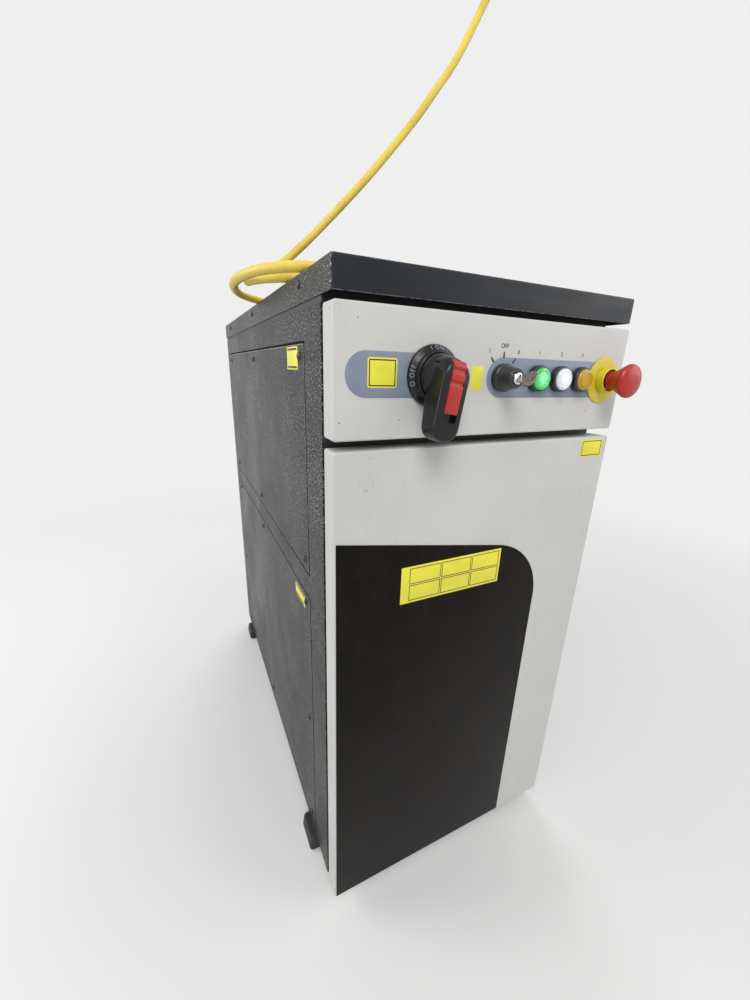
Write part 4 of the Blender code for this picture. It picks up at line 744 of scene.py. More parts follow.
def moulded(name, colour, roughness, grain=0.5, depth=0.012, spread=0.06, gloss=0.0, edge=0.4, scuffs=0.25,
            shine=0.5):
    """Moulded plastic: slight uneven colour, a fine spark-eroded grain, scuffs that are paler and rougher, and
    a rounded edge. Gloss is the weight of a clear top coat."""
    material, tree, shader = new_material(name, Specular_IOR_Level=shine, Coat_Weight=gloss,
                                          Coat_Roughness=0.12)
    broad = pattern(tree, "Noise", 22.0, Detail=3.0)
    fine = pattern(tree, "Noise", grain, Detail=2.0)
    scratch = pattern(tree, "Noise", 3.0, stretch=(1, 1, 12), turn=(0.4, 0.9, 0.2), Detail=4.0, Roughness=0.7)
    mark = between(tree, scratch, 0.62, 0.78, 0, scuffs)
    shade = colours(tree, mark, uneven(tree, broad, colour, spread), tuple(0.6 * c + 0.06 for c in colour))
    normal, edge_mask = edges(tree, edge)
    shade = colours(tree, between(tree, edge_mask, 0.05, 0.3, 0, 0.25), shade, paler(colour, 1.8))
    rough = calc(tree, "ADD", between(tree, broad, 0.3, 0.7, roughness - 0.04, roughness + 0.05),
                 calc(tree, "MULTIPLY", mark, 0.3))
    surface(tree, shader, shade, rough, relief(tree, fine, depth, normal))
    return material


black_plastic = moulded("black_moulding", (0.014, 0.015, 0.017), 0.34, gloss=0.15)
black_satin = moulded("black_handle_moulding", (0.0068, 0.0072, 0.0082), 0.25, grain=0.7, depth=0.02,
                      scuffs=0.15, shine=0.36)
red_plastic = moulded("red_moulding", (0.40, 0.019, 0.013), 0.34, gloss=0.12, scuffs=0.1, shine=0.36)
yellow_plastic = moulded("yellow_moulding", (0.62, 0.50, 0.022), 0.4, gloss=0.12, scuffs=0.15)
rubber = moulded("foot_rubber", (0.016, 0.016, 0.017), 0.62, grain=1.4, depth=0.08, scuffs=0.5)
# A dead black for plates that paint the shade in gaps and openings.
gap_shade_black = moulded("painted_gap_shade", (0.006, 0.006, 0.0065), 0.85, grain=1.6, depth=0.05, scuffs=0.05,
                       shine=0.05)
steel_black = moulded("blackened_screw", (0.02, 0.02, 0.022), 0.3, grain=0.8, depth=0.03, scuffs=0.5, edge=0.25)
# The black is tinted brown: a painted brown reflection on the glossy film.
film_black_brown_reflection = moulded("door_film_gloss", (0.0048, 0.0034, 0.0024), 0.2, grain=9.0, depth=0.02, spread=0.3,
                     edge=0.2, scuffs=0.05, shine=0.11)
print("plastics:", black_plastic.name, red_plastic.name, yellow_plastic.name)

# %% Metals


def metal(name, colour, roughness, brush=(1, 1, 1), grain=1.2, depth=0.01, spread=0.08, spangle=False):
    """Metal: a noise stretched along the brushing for scratches, and patches of tone or a spangle."""
    material, tree, shader = new_material(name, Metallic=1.0)
    lines = pattern(tree, "Noise", grain, stretch=brush, Detail=4.0, Roughness=0.7)
    tone = pattern(tree, "Voronoi" if spangle else "Noise", 24.0)
    shade = colours(tree, between(tree, tone, 0.2, 0.8), paler(colour, 1 - spread), paler(colour, 1 + spread))
    shade = colours(tree, between(tree, lines, 0.5, 0.8, 0, 0.3), shade, paler(colour, 1 - 2 * spread))
    rough = between(tree, lines, 0.3, 0.7, max(0.03, roughness - 0.06), roughness + 0.08)
    surface(tree, shader, shade, rough, relief(tree, lines, depth, edges(tree, 0.4)[0]))
    return material


zinc = metal("zinc_plate", (0.46, 0.46, 0.45), 0.36, spread=0.14, spangle=True)
aluminium = metal("brushed_aluminium", (0.50, 0.51, 0.52), 0.36, brush=(40, 1, 1), grain=1.6)
chrome = metal("polished_chrome", (0.78, 0.78, 0.79), 0.08, grain=2.0, depth=0.004)
nickel = metal("key_steel", (0.27, 0.255, 0.225), 0.26, brush=(1, 1, 30), grain=0.8)
brass = metal("turned_brass", (0.70, 0.52, 0.24), 0.26, brush=(30, 1, 30), grain=0.7)
stainless = metal("stainless_fitting", (0.60, 0.60, 0.59), 0.24, brush=(30, 1, 30), grain=0.7)
# A pale metal for thin frames that paint the highlight on the access panels' folded rims.
painted_rim_highlight = metal("painted_rim_highlight", (0.30, 0.30, 0.305), 0.4, grain=3.0, spread=0.5)
print("metals:", zinc.name, aluminium.name, chrome.name, brass.name)

# %% [markdown]
# ## Lit lenses
# The start button and the white lamp are lit, the amber lamp is dark. A lit lens is brightest over its lamp
# and falls off to the rim, so the glow follows the distance from the control's axis. The level is low enough
# for the moulded ring to stay readable: a lens that clips to white has lost its shape.

# %% Lens material
LAMP_OUT, GLOW_REACH, RING_GAP = 11.0, 13.0, 0.55


def lens(name, colour, centre, glow, core):
    """Ribbed clear plastic over a lamp: core colour at the axis and the lens colour at the rim, with the same
    fall-off in its own light, and fine rings as relief."""
    material, tree, shader = new_material(name, Coat_Weight=0.4, Coat_Roughness=0.06, Emission_Strength=glow)
    away = reach(tree, place=tuple(on_front(*centre, LAMP_OUT).tolist()))
    cloud = pattern(tree, "Noise", 5.0, Detail=2.0)
    share = calc(tree, "ADD", between(tree, away, 0.0, GLOW_REACH * MM),
                 between(tree, cloud, 0.3, 0.7, -0.12, 0.12))
    shade = colours(tree, share, core, colour)
    rings = between(tree, calc(tree, "PINGPONG", away, RING_GAP * MM), 0.0, RING_GAP * MM)
    surface(tree, shader, shade, between(tree, cloud, 0.3, 0.7, 0.12, 0.22), relief(tree, rings, 0.02))
    if glow:
        wire(tree, (shade, shader.inputs["Emission Color"]))
    return material


green_lens = lens("green_lit_lens", (0.012, 0.34, 0.06), START, 0.5, (0.22, 0.74, 0.34))
white_lens = lens("white_lit_lens", (0.50, 0.53, 0.60), WHITE, 0.3, (0.80, 0.82, 0.84))
amber_lens = lens("amber_dark_lens", (0.44, 0.27, 0.02), AMBER, 0.0, (0.56, 0.39, 0.04))
print("lenses:", green_lens.name, white_lens.name, amber_lens.name)

# %% [markdown]
# ## Jacket and ink
# The jacket is soft plastic that has picked up dirt, and the signs are printed film. An image could carry
# the print, but the signs here are plain, so an ink with a slight mottle is enough for them.

# %% Cable jacket and print


def jacket():
    """Yellow jacket over a spiral armour: mottled tone, darker dirt in some stretches, fine speckle."""
    material, tree, shader = new_material("fiber_jacket")
    broad = pattern(tree, "Noise", 60.0, Detail=4.0, Roughness=0.6)
    fine = pattern(tree, "Noise", 0.8, Detail=3.0)
    dirt = between(tree, pattern(tree, "Noise", 11.0, Detail=5.0), 0.6, 0.75, 0, 0.35)
    shade = colours(tree, between(tree, broad, 0.3, 0.7), (0.60, 0.44, 0.045), (0.74, 0.57, 0.09))
    shade = colours(tree, between(tree, fine, 0.56, 0.72, 0, 0.55), shade, (0.42, 0.30, 0.05))
    shade = colours(tree, dirt, shade, (0.26, 0.20, 0.09))
    surface(tree, shader, shade, between(tree, broad, 0.3, 0.7, 0.42, 0.56), relief(tree, fine, 0.05))
    return material


def printed(name, colour, roughness=0.4):
    """Print or sticker film: even ink with a slight mottle, scratches and dirt."""
    return moulded(name, colour, roughness, grain=0.9, depth=0.006, spread=0.05, edge=0.1, scuffs=0.15)


fiber_yellow = jacket()
band_ink = printed("band_ink", (0.185, 0.225, 0.285))
sticker_yellow = printed("sticker_yellow", (0.74, 0.68, 0.045), 0.34)
sticker_line = printed("sticker_line", (0.02, 0.02, 0.022), 0.36)
letter_grey = printed("letter_grey", (0.20, 0.21, 0.25))
black_ink_and_keyway_shade = printed("black_ink_and_keyway_shade", (0.025, 0.025, 0.028))
print("print:", band_ink.name, sticker_yellow.name, letter_grey.name)

# %% [markdown]
# ## Dress the construction
# Every folded sheet, rail and box of the construction stays as it is and only gets its finish. The table names
# the nodes by finish, and what isn't in it will be replaced by a finer piece further down.

# %% Finishes of the nodes
SIDES = ("left", "right")
MODULES = [f"laser_module_{i}" for i in range(1, 5)] + ["beam_combiner"]
DRESS = {
    panel_grey: ["control_panel", "door"],
    side_coat: [f"{part}_{side}" for part in ("side_skin", "access_panel_lower", "access_panel_upper")
                for side in SIDES],
    rear_coat: ["rear_panel"],
    lid_coat: ["lid"],
    frame_black: ["base_tray", "front_frame", "top_frame"],
    film_black_brown_reflection: ["door_film"],
    black_plastic: ["door_catch", "disconnect_switch", "power_gland", "stop_contact_block"],
    zinc: ["lower_hinge_leaf", "upper_hinge_leaf", "lower_hinge_pin", "upper_hinge_pin", "door_strike",
           "disconnect_shaft", "equipment_rack_left", "equipment_rack_right", "power_supply"],
    aluminium: MODULES + ["supply_manifold", "return_manifold", "interface_sockets"],
    stainless: ["water_inlet_fitting", "water_outlet_fitting", "fiber_gland"],
    rubber: [f"{end}_foot_{side}" for end in ("front", "rear") for side in SIDES],
}
SLOTS = {
    "black_plastic": [black_plastic, black_satin, steel_black], "zinc": [zinc, nickel], "chrome": [chrome],
    "brass": [brass], "rubber": [rubber], "red_plastic": [red_plastic],
    "yellow_plastic": [yellow_plastic, sticker_yellow], "fiber_yellow": [fiber_yellow],
    "green_lens": [green_lens], "white_lens": [white_lens], "amber_lens": [amber_lens],
    "panel_grey": [band_ink, letter_grey], "black_film": [sticker_line, black_ink_and_keyway_shade, gap_shade_black, painted_rim_highlight],
}
SLOT_OF = {material: slot for slot, materials in SLOTS.items() for material in materials}
for material, names in DRESS.items():
    for name in names:
        bpy.data.objects[name].data.materials.clear()
        bpy.data.objects[name].data.materials.append(material)


def dressed(item, body, material, *nodes, slot=None):
    """Give a new piece its surface and its body, and hide the nodes that it stands for. The slot is looked up
    but not kept.
    """
    item.data.materials.append(material)
    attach(item, body)
    if nodes:
        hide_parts(*nodes)
    slot or SLOT_OF[material]
    return item


print("dressed nodes:", sum(len(names) for names in DRESS.values()))

# %% [markdown]
# ## The boot
# A ribbed rubber boot keeps the cable from kinking where it leaves the gland. It could be a lathe, but the
# cable already bends there, so it is the same tube along the same route with a wider, tapering radius.

# %% Cable, boot and hanger
BOOT_FROM, BOOT_L, BOOT_WIDE, BOOT_SLIM = 1.2, 42.0, 9.6, 6.9
BOOT_RIBS, BOOT_RIB_DEPTH = 9, 0.5
dressed(output_fiber, "cabinet", fiber_yellow, "output_fiber")
on_boot = (along > BOOT_FROM) & (along < BOOT_L)
share = along[on_boot] / BOOT_L
boot_radius = BOOT_WIDE + (BOOT_SLIM - BOOT_WIDE) * share - BOOT_RIB_DEPTH * ripple(share * BOOT_RIBS)
dressed(skin("fiber_boot", tube(route[on_boot], boot_radius, 32)), "cabinet", rubber)
dressed(hanger_clamp, "cabinet", black_satin, "overhead_hanger")
dressed(hanger_eye, "cabinet", zinc, "overhead_hanger")
tuple(at(*FIBER_ROUTE[0]).tolist())
[tuple(p) for p in at(*route.T).tolist()]

# %% [markdown]
# ## Push-through controls
# Every round control goes through a 22 mm hole: a bezel in front, its tube through the sheet, a lock nut and a
# contact block behind. Each is a lathe profile of radius against height out of the panel, and a six-sided nut
# is the same lathe with six sides. The bezels are rings, so their profiles are closed and the skin loops.

# %% Bezels with nut and block
TUBE_R, TUBE_IN, BEZEL_R = 11.0, -15.7, 15.7
NUT_FLATS = 27.0
NUT_IN, NUT_OUT = -6.8, -1.8
BLOCK_W, BLOCK_H, BLOCK_GAP = 28.0, 40.0, 0.8
BLOCK_BACK, BLOCK_FRONT = -45.2, -15.2
GRIP_RIBS, GRIP_DEPTH, GRIP_EASE = 36, 0.35, 0.35
GRIP_LOW, GRIP_HIGH = 1.0, 6.0
BUTTON_BEZEL = [(9.5, TUBE_IN), (TUBE_R, TUBE_IN), (TUBE_R, FIT), (BEZEL_R, FIT), (BEZEL_R, 6.5), (14.8, 8.4),
                (13.2, 9.0), (13.2, 1.8), (9.5, 1.8)]
KEY_BEZEL = [(6.8, TUBE_IN), (TUBE_R, TUBE_IN), (TUBE_R, FIT), (BEZEL_R, FIT), (BEZEL_R, 7.0), (14.7, 8.0),
             (13.8, 8.0), (TUBE_R, 24.0), (10.2, 25.0), (6.8, 25.0)]


def waved(axis, radius, height, t):
    """Rings round a control's axis whose radius changes with the height and the angle t."""
    return at(axis[0] + radius * np.cos(t), -height, axis[1] + radius * np.sin(t))


def grip_ring(axis, sides=288):
    """Rings of a ribbed band: the bezel's radius less the depth of a wave with so many ribs."""
    t = np.linspace(0, 2 * math.pi, sides, endpoint=False)
    rows = np.array([(GRIP_LOW, GRIP_EASE), (GRIP_LOW + 0.5, 0), (GRIP_HIGH - 0.5, 0), (GRIP_HIGH, GRIP_EASE)])
    radius = BEZEL_R - rows[:, 1:2] - GRIP_DEPTH * ripple(GRIP_RIBS * t / (2 * math.pi))
    return waved(axis, radius, rows[:, 0:1], t)


def nut_and_block(name, axis):
    """Lock nut and contact block behind the sheet: a short lathe with six sides, and two boxes with eased
    edges, one for each terminal."""
    corner, bore = NUT_FLATS / 2 / math.cos(math.pi / 6), TUBE_R - 0.2
    hexagon = [(bore, NUT_IN), (corner - 0.8, NUT_IN), (corner, NUT_IN + 0.7), (corner, NUT_OUT - 0.7),
               (corner - 0.8, NUT_OUT), (bore, NUT_OUT)]
    half = np.array([(BLOCK_W / 2 - BLOCK_GAP) / 2, BLOCK_H / 2])
    middles = [np.array(axis) + (side * BLOCK_W / 4, 0) for side in (-1, 1)]
    boxes = [plate(slab(m - half, m + half, 1.2), BLOCK_BACK, BLOCK_FRONT, 0.6, on_front) for m in middles]
    return skin(name + "_nut", turned(hexagon, axis, 6), loop=True), skin(name + "_block", *boxes)


def bezel(name, axis, profile):
    """Moulded bezel of a control, with its nut and its block."""
    ring = skin(name + "_ring", turned(eased(profile, 0.45, 3, closed=True), axis), loop=True)
    nut, block = nut_and_block(name, axis)
    for item, material in ((ring, black_plastic), (nut, zinc), (block, black_plastic)):
        dressed(item, "cabinet", material, name)


for name, axis in (("start_button_bezel", START), ("white_lamp_bezel", WHITE), ("amber_lamp_bezel", AMBER)):
    bezel(name, axis, BUTTON_BEZEL)
bezel("key_switch_bezel", KEY, KEY_BEZEL)
dressed(skin("key_switch_bezel_grip", grip_ring(KEY)), "cabinet", black_plastic)
print("bezels at x:", [round(c[0], 1) for c in (KEY, START, WHITE, AMBER)])

# %% [markdown]
# ## Lenses
# A lens is a plug of clear plastic that sits in its bezel, and the start button is one that moves. They
# share their side, and only the amber one has a stepped tip, so one profile takes the tip as its last points.

# %% Lenses
LENS_SEAT = 1.8 + FIT
START_SEAT = LENS_SEAT + 3.0
FLAT_TIP = [(9.9, 11.8), (9.2, 11.85), (8.8, 11.3), (8.2, 11.3), (7.8, 11.9), (0.5, 12.0)]
STEPPED_TIP = [(10.5, 11.4), (10.2, 13.1), (9.3, 13.6), (0.5, 13.6)]
LENSES = (("start_button", START, START_SEAT, FLAT_TIP, green_lens, "start"),
          ("white_lamp_lens", WHITE, LENS_SEAT, FLAT_TIP, white_lens, "cabinet"),
          ("amber_lamp_lens", AMBER, LENS_SEAT, STEPPED_TIP, amber_lens, "cabinet"))


def lens_profile(seat, tip):
    """Side of a lens from its back to its middle: a plug in the bezel's tube, a shoulder, a side with a
    rounded rim, and the tip's own points."""
    return [(0.5, -12.0), (9.2, -12.0), (9.2, seat), (12.9, seat), (12.9, 10.0), (12.1, 11.2)] + tip


for name, axis, seat, tip, material, body in LENSES:
    shape = turned(eased(lens_profile(seat, tip), 0.5, 3), axis, 64)
    dressed(skin(name + "_lens", shape), body, material, name)
print("lenses:", [row[0] for row in LENSES])

# %% [markdown]
# ## Lock and key
# The lock core has the slot that the blade goes into, and a black plate round the blade paints the shade in
# that slot. The blade is one flat outline, drawn in its own plane and made a plate whose edges are drawn in: a
# stamped key has a small radius there. The bow has a hole, and a hole can't be in a plain cap, so the bow is a
# ring and the blade and neck join it.

# %% Lock core and key
KEY_ANGLE = math.radians(40.0)
CORE_R, CORE_TOP = 6.5, 28.0
KEY_T = 2.2
BOW_R, BOW_AT, HOLE_R, HOLE_AT = 10.0, 42.0, 2.4, 46.5
CORE = [(0.5, -12.0), (CORE_R, -12.0), (CORE_R, CORE_TOP - 0.8), (CORE_R - 0.8, CORE_TOP), (3.9, CORE_TOP),
        (3.6, CORE_TOP - 0.5), (0.5, CORE_TOP - 0.5)]
KEYWAY_SHADE = slab((-3.9, CORE_TOP - 4), (3.9, CORE_TOP + 0.06))
BLADE = [(-3.5, 14.0), (3.5, 14.0), (3.5, 28.3), (5.0, 28.3), (5.0, 31.3), (3.2, 33.6), (-3.2, 33.6),
         (-5.0, 31.3), (-5.0, 28.3), (-3.5, 28.3)]


def key_plane(a, b, height):
    """a runs across the key in its own plane, b runs out of the panel, height is along its thickness."""
    sine, cosine = math.sin(KEY_ANGLE), math.cos(KEY_ANGLE)
    return at(KEY[0] + a * sine + height * cosine, -b, KEY[1] + a * cosine - height * sine)


def bow_rings(steps=72):
    """Rings of the bow, one for each angle: its section is a rounded bar from the hole's rim to the outline."""
    t = np.linspace(0, 2 * math.pi, steps, endpoint=False)
    ray = np.stack([np.cos(t), np.sin(t)], axis=-1)[:, None]
    half = KEY_T / 2
    section = np.array([(0.0, half - 0.4), (0.06, half), (0.94, half), (1.0, half - 0.4),
                        (1.0, 0.4 - half), (0.94, -half), (0.06, -half), (0.0, 0.4 - half)])
    share = section[None, :, 0:1]
    flat = (np.array([0, HOLE_AT]) + HOLE_R * ray) * (1 - share) + (np.array([0, BOW_AT]) + BOW_R * ray) * share
    return key_plane(flat[..., 0], flat[..., 1], np.broadcast_to(section[:, 1], flat.shape[:2]))


dressed(skin("lock_core", turned(eased(CORE, 0.3, 3), KEY, 56)), "lock", chrome, "key_barrel")
# A black plate round the blade: painted shade of the keyway.
keyway_shade = skin("lock_keyway_shade", plate(KEYWAY_SHADE, -1.45, 1.45, 0.05, key_plane))
dressed(keyway_shade, "lock", black_ink_and_keyway_shade, slot="black_plastic")
dressed(skin("key_bow", bow_rings(), loop=True), "lock", nickel, "key")
blade = plate(eased(BLADE, 0.5, 3, closed=True), 0.05 - KEY_T / 2, KEY_T / 2 - 0.05, 0.25, key_plane)
dressed(skin("key_blade", blade), "lock", nickel, "key")
print("key stands out", round(BOW_AT + BOW_R, 1), "mm")

# %% [markdown]
# ## Emergency stop
# A yellow disc lies under a yellow collar, and the red head stands on a short neck that slides in the collar.
# The head has three plain grip dents round its rim, which are a small wave in the radius.

# %% Stop button
LEGEND_TOP, COLLAR_TOP = 1.8, 13.0
NECK_R, NECK_LOW = 11.4, 12.3
DENTS, DENT_DEPTH, DENT_FROM, DENT_FULL = 3, 0.5, 15.0, 20.0
DISC = [(11.3, FIT), (29.4, FIT), (29.4, LEGEND_TOP), (11.3, LEGEND_TOP)]
COLLAR = [(8.9, TUBE_IN), (TUBE_R, TUBE_IN), (TUBE_R, LEGEND_TOP + FIT), (15.5, LEGEND_TOP + FIT),
          (15.5, COLLAR_TOP - 0.8), (14.7, COLLAR_TOP), (13.9, COLLAR_TOP), (13.9, 6.0), (8.9, 6.0)]
HEAD = [(0.5, 36.3), (5.3, 36.3), (5.3, NECK_LOW), (NECK_R, NECK_LOW), (NECK_R, 18.0), (NECK_R + 3.0, 24.5),
        (18.2, 31.5), (20.6, 35.4), (21.0, 37.4), (20.7, 39.2), (19.2, 41.3), (15.0, 43.4), (9.0, 44.6),
        (0.5, 45.0)]
STEM = [(0.5, -8.0), (8.6, -8.0), (8.6, 12.0), (5.0, 12.0), (5.0, 36.0), (0.5, 36.0)]


def mushroom(profile, sides=120):
    """Lathe whose rim has dents: towards the rim the radius loses up to the dent's depth times a power of the
    cosine of dents t / 2, so each dent is a short dip and the rest stays round."""
    t = np.linspace(0, 2 * math.pi, sides, endpoint=False)
    dip = DENT_DEPTH * np.abs(np.cos(DENTS * t / 2)) ** 12
    rim = np.clip((profile[:, 0:1] - DENT_FROM) / (DENT_FULL - DENT_FROM), 0, 1)
    return waved(STOP, profile[:, 0:1] - rim * dip, profile[:, 1:2], t)


disc = skin("stop_disc", turned(eased(DISC, 0.35, 3, True), STOP, 96), loop=True)
dressed(disc, "cabinet", yellow_plastic, "stop_legend_disc")
collar = skin("stop_collar_ring", turned(eased(COLLAR, 0.5, 3, True), STOP), loop=True)
dressed(collar, "cabinet", yellow_plastic, "stop_collar")
stem = skin("stop_stem_rod", turned(eased(STEM, 0.4, 2), STOP, 48))
dressed(stem, "stop_plunger", black_plastic, "stop_stem")
dressed(skin("stop_mushroom", mushroom(eased(HEAD, 1.2, 4))), "stop_knob", red_plastic, "stop_head")
print("stop head stands out", HEAD[-1][1], "mm")

# %% [markdown]
# ## The disconnect's escutcheon
# The round base carries ON at the top and OFF at the side, moulded in pale letters on its sloping flank. The
# letters are flat text made into meshes, and then every point is wrapped on the cone: the text's x becomes an
# angle and its y a way up the slope.

# %% Escutcheon
ESCUTCHEON = [(23.3, FIT), (32.0, FIT), (32.0, 2.4), (31.0, 4.2), (26.0, 6.6), (25.3, 11.0), (24.3, 12.0),
              (23.3, 12.0)]
LETTER_T = 0.25
FLANK_R, FLANK_H, FLANK_FALL = 28.5, 5.47, 0.48
base = skin("disconnect_base", turned(eased(ESCUTCHEON, 0.7, 3, True), DISCONNECT, 96), loop=True)
dressed(base, "cabinet", black_satin, "disconnect_escutcheon")


def evaluated(item):
    """The mesh that an object's curve or modifiers make."""
    return bpy.data.meshes.new_from_object(item.evaluated_get(bpy.context.evaluated_depsgraph_get()))


def lettering(name, words, size, place, spacing=1.0, bold=0.0):
    """Text as a solid mesh, centred, in millimetres: x along the words, y up, z its thickness. Bold widens
    each stroke by that many millimetres on both sides, and place turns x, y and z into metres."""
    curve = bpy.data.curves.new(name, "FONT")
    curve.body, curve.size, curve.space_character, curve.offset = words, size, spacing, bold
    curve.align_x = curve.align_y = "CENTER"
    curve.extrude, curve.resolution_u = LETTER_T / 2, 4
    holder = linked(name, curve)
    mesh = evaluated(holder)
    bpy.data.objects.remove(holder)
    bpy.data.curves.remove(curve)
    solid = bmesh.new()
    solid.from_mesh(mesh)
    bmesh.ops.remove_doubles(solid, verts=solid.verts, dist=1e-5)
    solid.to_mesh(mesh)
    solid.free()
    points = np.empty(len(mesh.vertices) * 3)
    mesh.vertices.foreach_get("co", points)
    mesh.vertices.foreach_set("co", place(*points.reshape(-1, 3).T).ravel())
    mesh.update()
    return finished(name, mesh)


def on_cone(turn):
    """Wraps text round the disconnect's axis: angle is turn less x over the radius, the radius grows with y,
    and the height falls by the flank's slope."""
    def place(x, y, z):
        return waved(DISCONNECT, FLANK_R + y, FLANK_H - y * FLANK_FALL + z, turn - x / FLANK_R)
    return place


for name, words, turn in (("letters_on", "I ON", math.pi / 2), ("letters_off", "O OFF", math.pi)):
    dressed(lettering(name, words, 6.1, on_cone(turn), 1.3, 0.06), "cabinet", letter_grey)
print("escutcheon", 2 * max(r for r, _ in ESCUTCHEON), "mm across")

# %% [markdown]
# ## The pistol handle
# This is the piece that the hand knows best. A domed hub turns in the escutcheon, and an arm with round ends
# hangs from it: each cross-section of the arm is the same stadium outline, drawn in towards the front face.
# The arm is one loft through a few stations, with a spline between them. Hub and arm are one moulding, so they
# are united, and a Boolean cuts the channel in which the red padlock slide runs.

# %% Handle
TILT = math.radians(9.5)
ARM_STATIONS = [(13.5, 1.0, 20.0), (15.0, 0.0, 21.0), (28.0, 0.2, 20.0), (36.0, 0.5, 17.5), (41.8, 1.1, 15.5),
                (44.2, 2.2, 13.5), (45.0, 3.9, 11.0)]
ARM_R, ARM_LOW = 16.4, -48.6
BACK_RISE, BACK_FROM, BACK_OVER = 8.5, -8.0, 42.0
HUB = [(0.5, 1.0), (23.0, 1.0), (23.0, 13.0), (22.2, 17.0), (20.0, 22.0), (16.0, 27.0), (11.0, 30.0),
       (0.5, 31.0)]
CHANNEL = slab((-8.2, -44.3), (8.2, 30.0), 1.0)
CHANNEL_FLOOR, CHANNEL_OPEN = 39.5, 52.0


def on_handle(u, v, w):
    """u across the arm, v up along it, w out of the panel, turned by the handle's tilt."""
    u, v, w = (np.asarray(value, float) for value in (u, v, w))
    return at(DISCONNECT[0] + u * math.cos(TILT) + v * math.sin(TILT), -w,
              DISCONNECT[1] - u * math.sin(TILT) + v * math.cos(TILT))


def arm_rings(spacing=1.1):
    """Stadium rings through a spline of the stations (height, inset, upper end). The radius is the arm's less
    the inset, the lower round end keeps its centre and the upper one ends at the station's place. The back
    rises towards the lower end: a height w becomes back + (w - w0) (w1 - back) / (w1 - w0)."""
    w_low, w_high = ARM_STATIONS[0][0], ARM_STATIONS[-1][0]
    rings = []
    for w, drawn_in, top in spline(ARM_STATIONS, spacing)[0]:
        radius = ARM_R - max(0.0, drawn_in)
        along_v, across_u = stadium(ARM_LOW - radius, top, radius, 26).T
        fall = np.clip((BACK_FROM - along_v) / BACK_OVER, 0, 1)
        back = w_low + BACK_RISE * fall ** 2 * (3 - 2 * fall)
        rings.append(on_handle(across_u, along_v, back + (w - w_low) * (w_high - back) / (w_high - w_low)))
    return np.stack(rings)


def combined(name, base, *tools):
    """Boolean each tool, given as (operation, object), with the base, and keep the result as one mesh."""
    for operation, tool in tools:
        step = base.modifiers.new(operation.title(), "BOOLEAN")
        step.operation, step.object = operation, tool
    mesh = evaluated(base)
    for item in [base] + [tool for _, tool in tools]:
        bpy.data.objects.remove(item)
    return finished(name, mesh)


hub = skin("hub_form", turned(eased(HUB, 1.6, 4), DISCONNECT, 96))
arm = skin("arm_form", arm_rings())
channel = skin("channel_form", plate(CHANNEL, CHANNEL_FLOOR, CHANNEL_OPEN, 0.02, on_handle))
handle = combined("pistol_handle", arm, ("UNION", hub), ("DIFFERENCE", channel))
dressed(handle, "handle", black_satin, "disconnect_handle")
print("handle:", len(handle.data.polygons), "faces")

# %% Padlock slide
SLIDE_HALF = 7.9
SLIDE_SIDE = [(-36.0, 39.8), (15.5, 39.8), (15.5, 41.0), (10.5, 46.0), (8.6, 46.0), (7.3, 44.5), (4.7, 44.5),
              (3.4, 46.0), (-3.4, 46.0), (-4.7, 44.5), (-7.3, 44.5), (-8.6, 46.0), (-35.2, 46.0), (-36.0, 45.2)]
RELEASE = [(0.3, -3.0), (1.5, -3.0), (1.5, 0.5), (1.1, 0.9), (0.3, 0.9)]
RELEASE_AT = (-14.5, 13.5, 26.2)


def on_slide(v, w, u):
    """The slide's side view is an outline of v and w, and its thickness runs across the arm."""
    return on_handle(u, v, w)


slide = plate(eased(SLIDE_SIDE, 0.9, 3, closed=True), -SLIDE_HALF, SLIDE_HALF, 0.5, on_slide)
dressed(skin("red_padlock_slide", slide), "slide", red_plastic, "padlock_slide")
release = skin("handle_release", *carried(spun(RELEASE, sides=24), on_handle(*RELEASE_AT)))
dressed(release, "handle", black_ink_and_keyway_shade, slot="black_plastic")
print("slide:", len(SLIDE_SIDE), "corners in its side view")

# %% [markdown]
# ## Print and stickers
# The bands behind the controls are printed on the panel, and the yellow stickers are film. Both are plates a
# tenth of a millimetre thick, so they have an edge that the light finds. Signs are plain fields of colour with
# thin frames.

# %% Bands on the control panel
INK_LOW, INK_HIGH = 0.02, 0.12
CONTROL_Z = DISCONNECT[1]
BAND_HALF = 22.5
BANDS = (("left_band", -198.3, DISCONNECT[0] + 12.0, [(DISCONNECT, 24.0)]),
         ("right_band", -25.0, STOP[0] + 18.0, [(axis, 11.4) for axis in (KEY, START, WHITE, AMBER, STOP)]))


def band(name, low, high, holes, cut=6.0):
    """Printed band with round ends and holes for the controls that stand in it."""
    a, b = stadium(low, high, BAND_HALF, 32).T
    form = skin(name + "_form", plate(np.stack([a, b + CONTROL_Z], axis=-1), INK_LOW, INK_HIGH, 0.03, on_front))
    tools = [("DIFFERENCE", skin("cutter", turned([(0.5, -cut), (r, -cut), (r, cut), (0.5, cut)], axis, 64)))
             for axis, r in holes]
    dressed(combined(name, form, *tools), "cabinet", band_ink)


for row in BANDS:
    band(*row)
print("bands:", [(row[0], row[1]) for row in BANDS])

# %% Stickers and frames
FRAME_T = 0.06
FILM_OUT = -box_mm("door_film")[0][1]
SIGN = ((-174.5, 787.4), (-141.4, 816.5))
LOCK_SIGN = ((-47.0, 786.0), (-31.0, 811.5))
CORNER_STICKER = ((157.0, 695.0), (200.0, 720.0))
SIDE_STICKERS = (("upper_side_sticker", (124.5, 802.0), (176.0, 829.0)),
                 ("lower_side_sticker", (124.5, 469.0), (175.0, 488.0)))
LABEL_LOW, LABEL_HIGH = np.array([-123.5, 526.5]), np.array([33.0, 577.3])
LABEL_STRIP, LABEL_EDGE, CELL_GAP = 9.0, 2.2, 0.8


def field(name, low, high, material, place, radius=1.0, lift=0.0, body="cabinet"):
    """Thin plate of colour from low to high, lifted off the surface by what lies under it."""
    rings = plate(slab(low, high, radius), INK_LOW + lift, INK_HIGH + lift, 0.02, place)
    dressed(skin(name, rings), body, material)


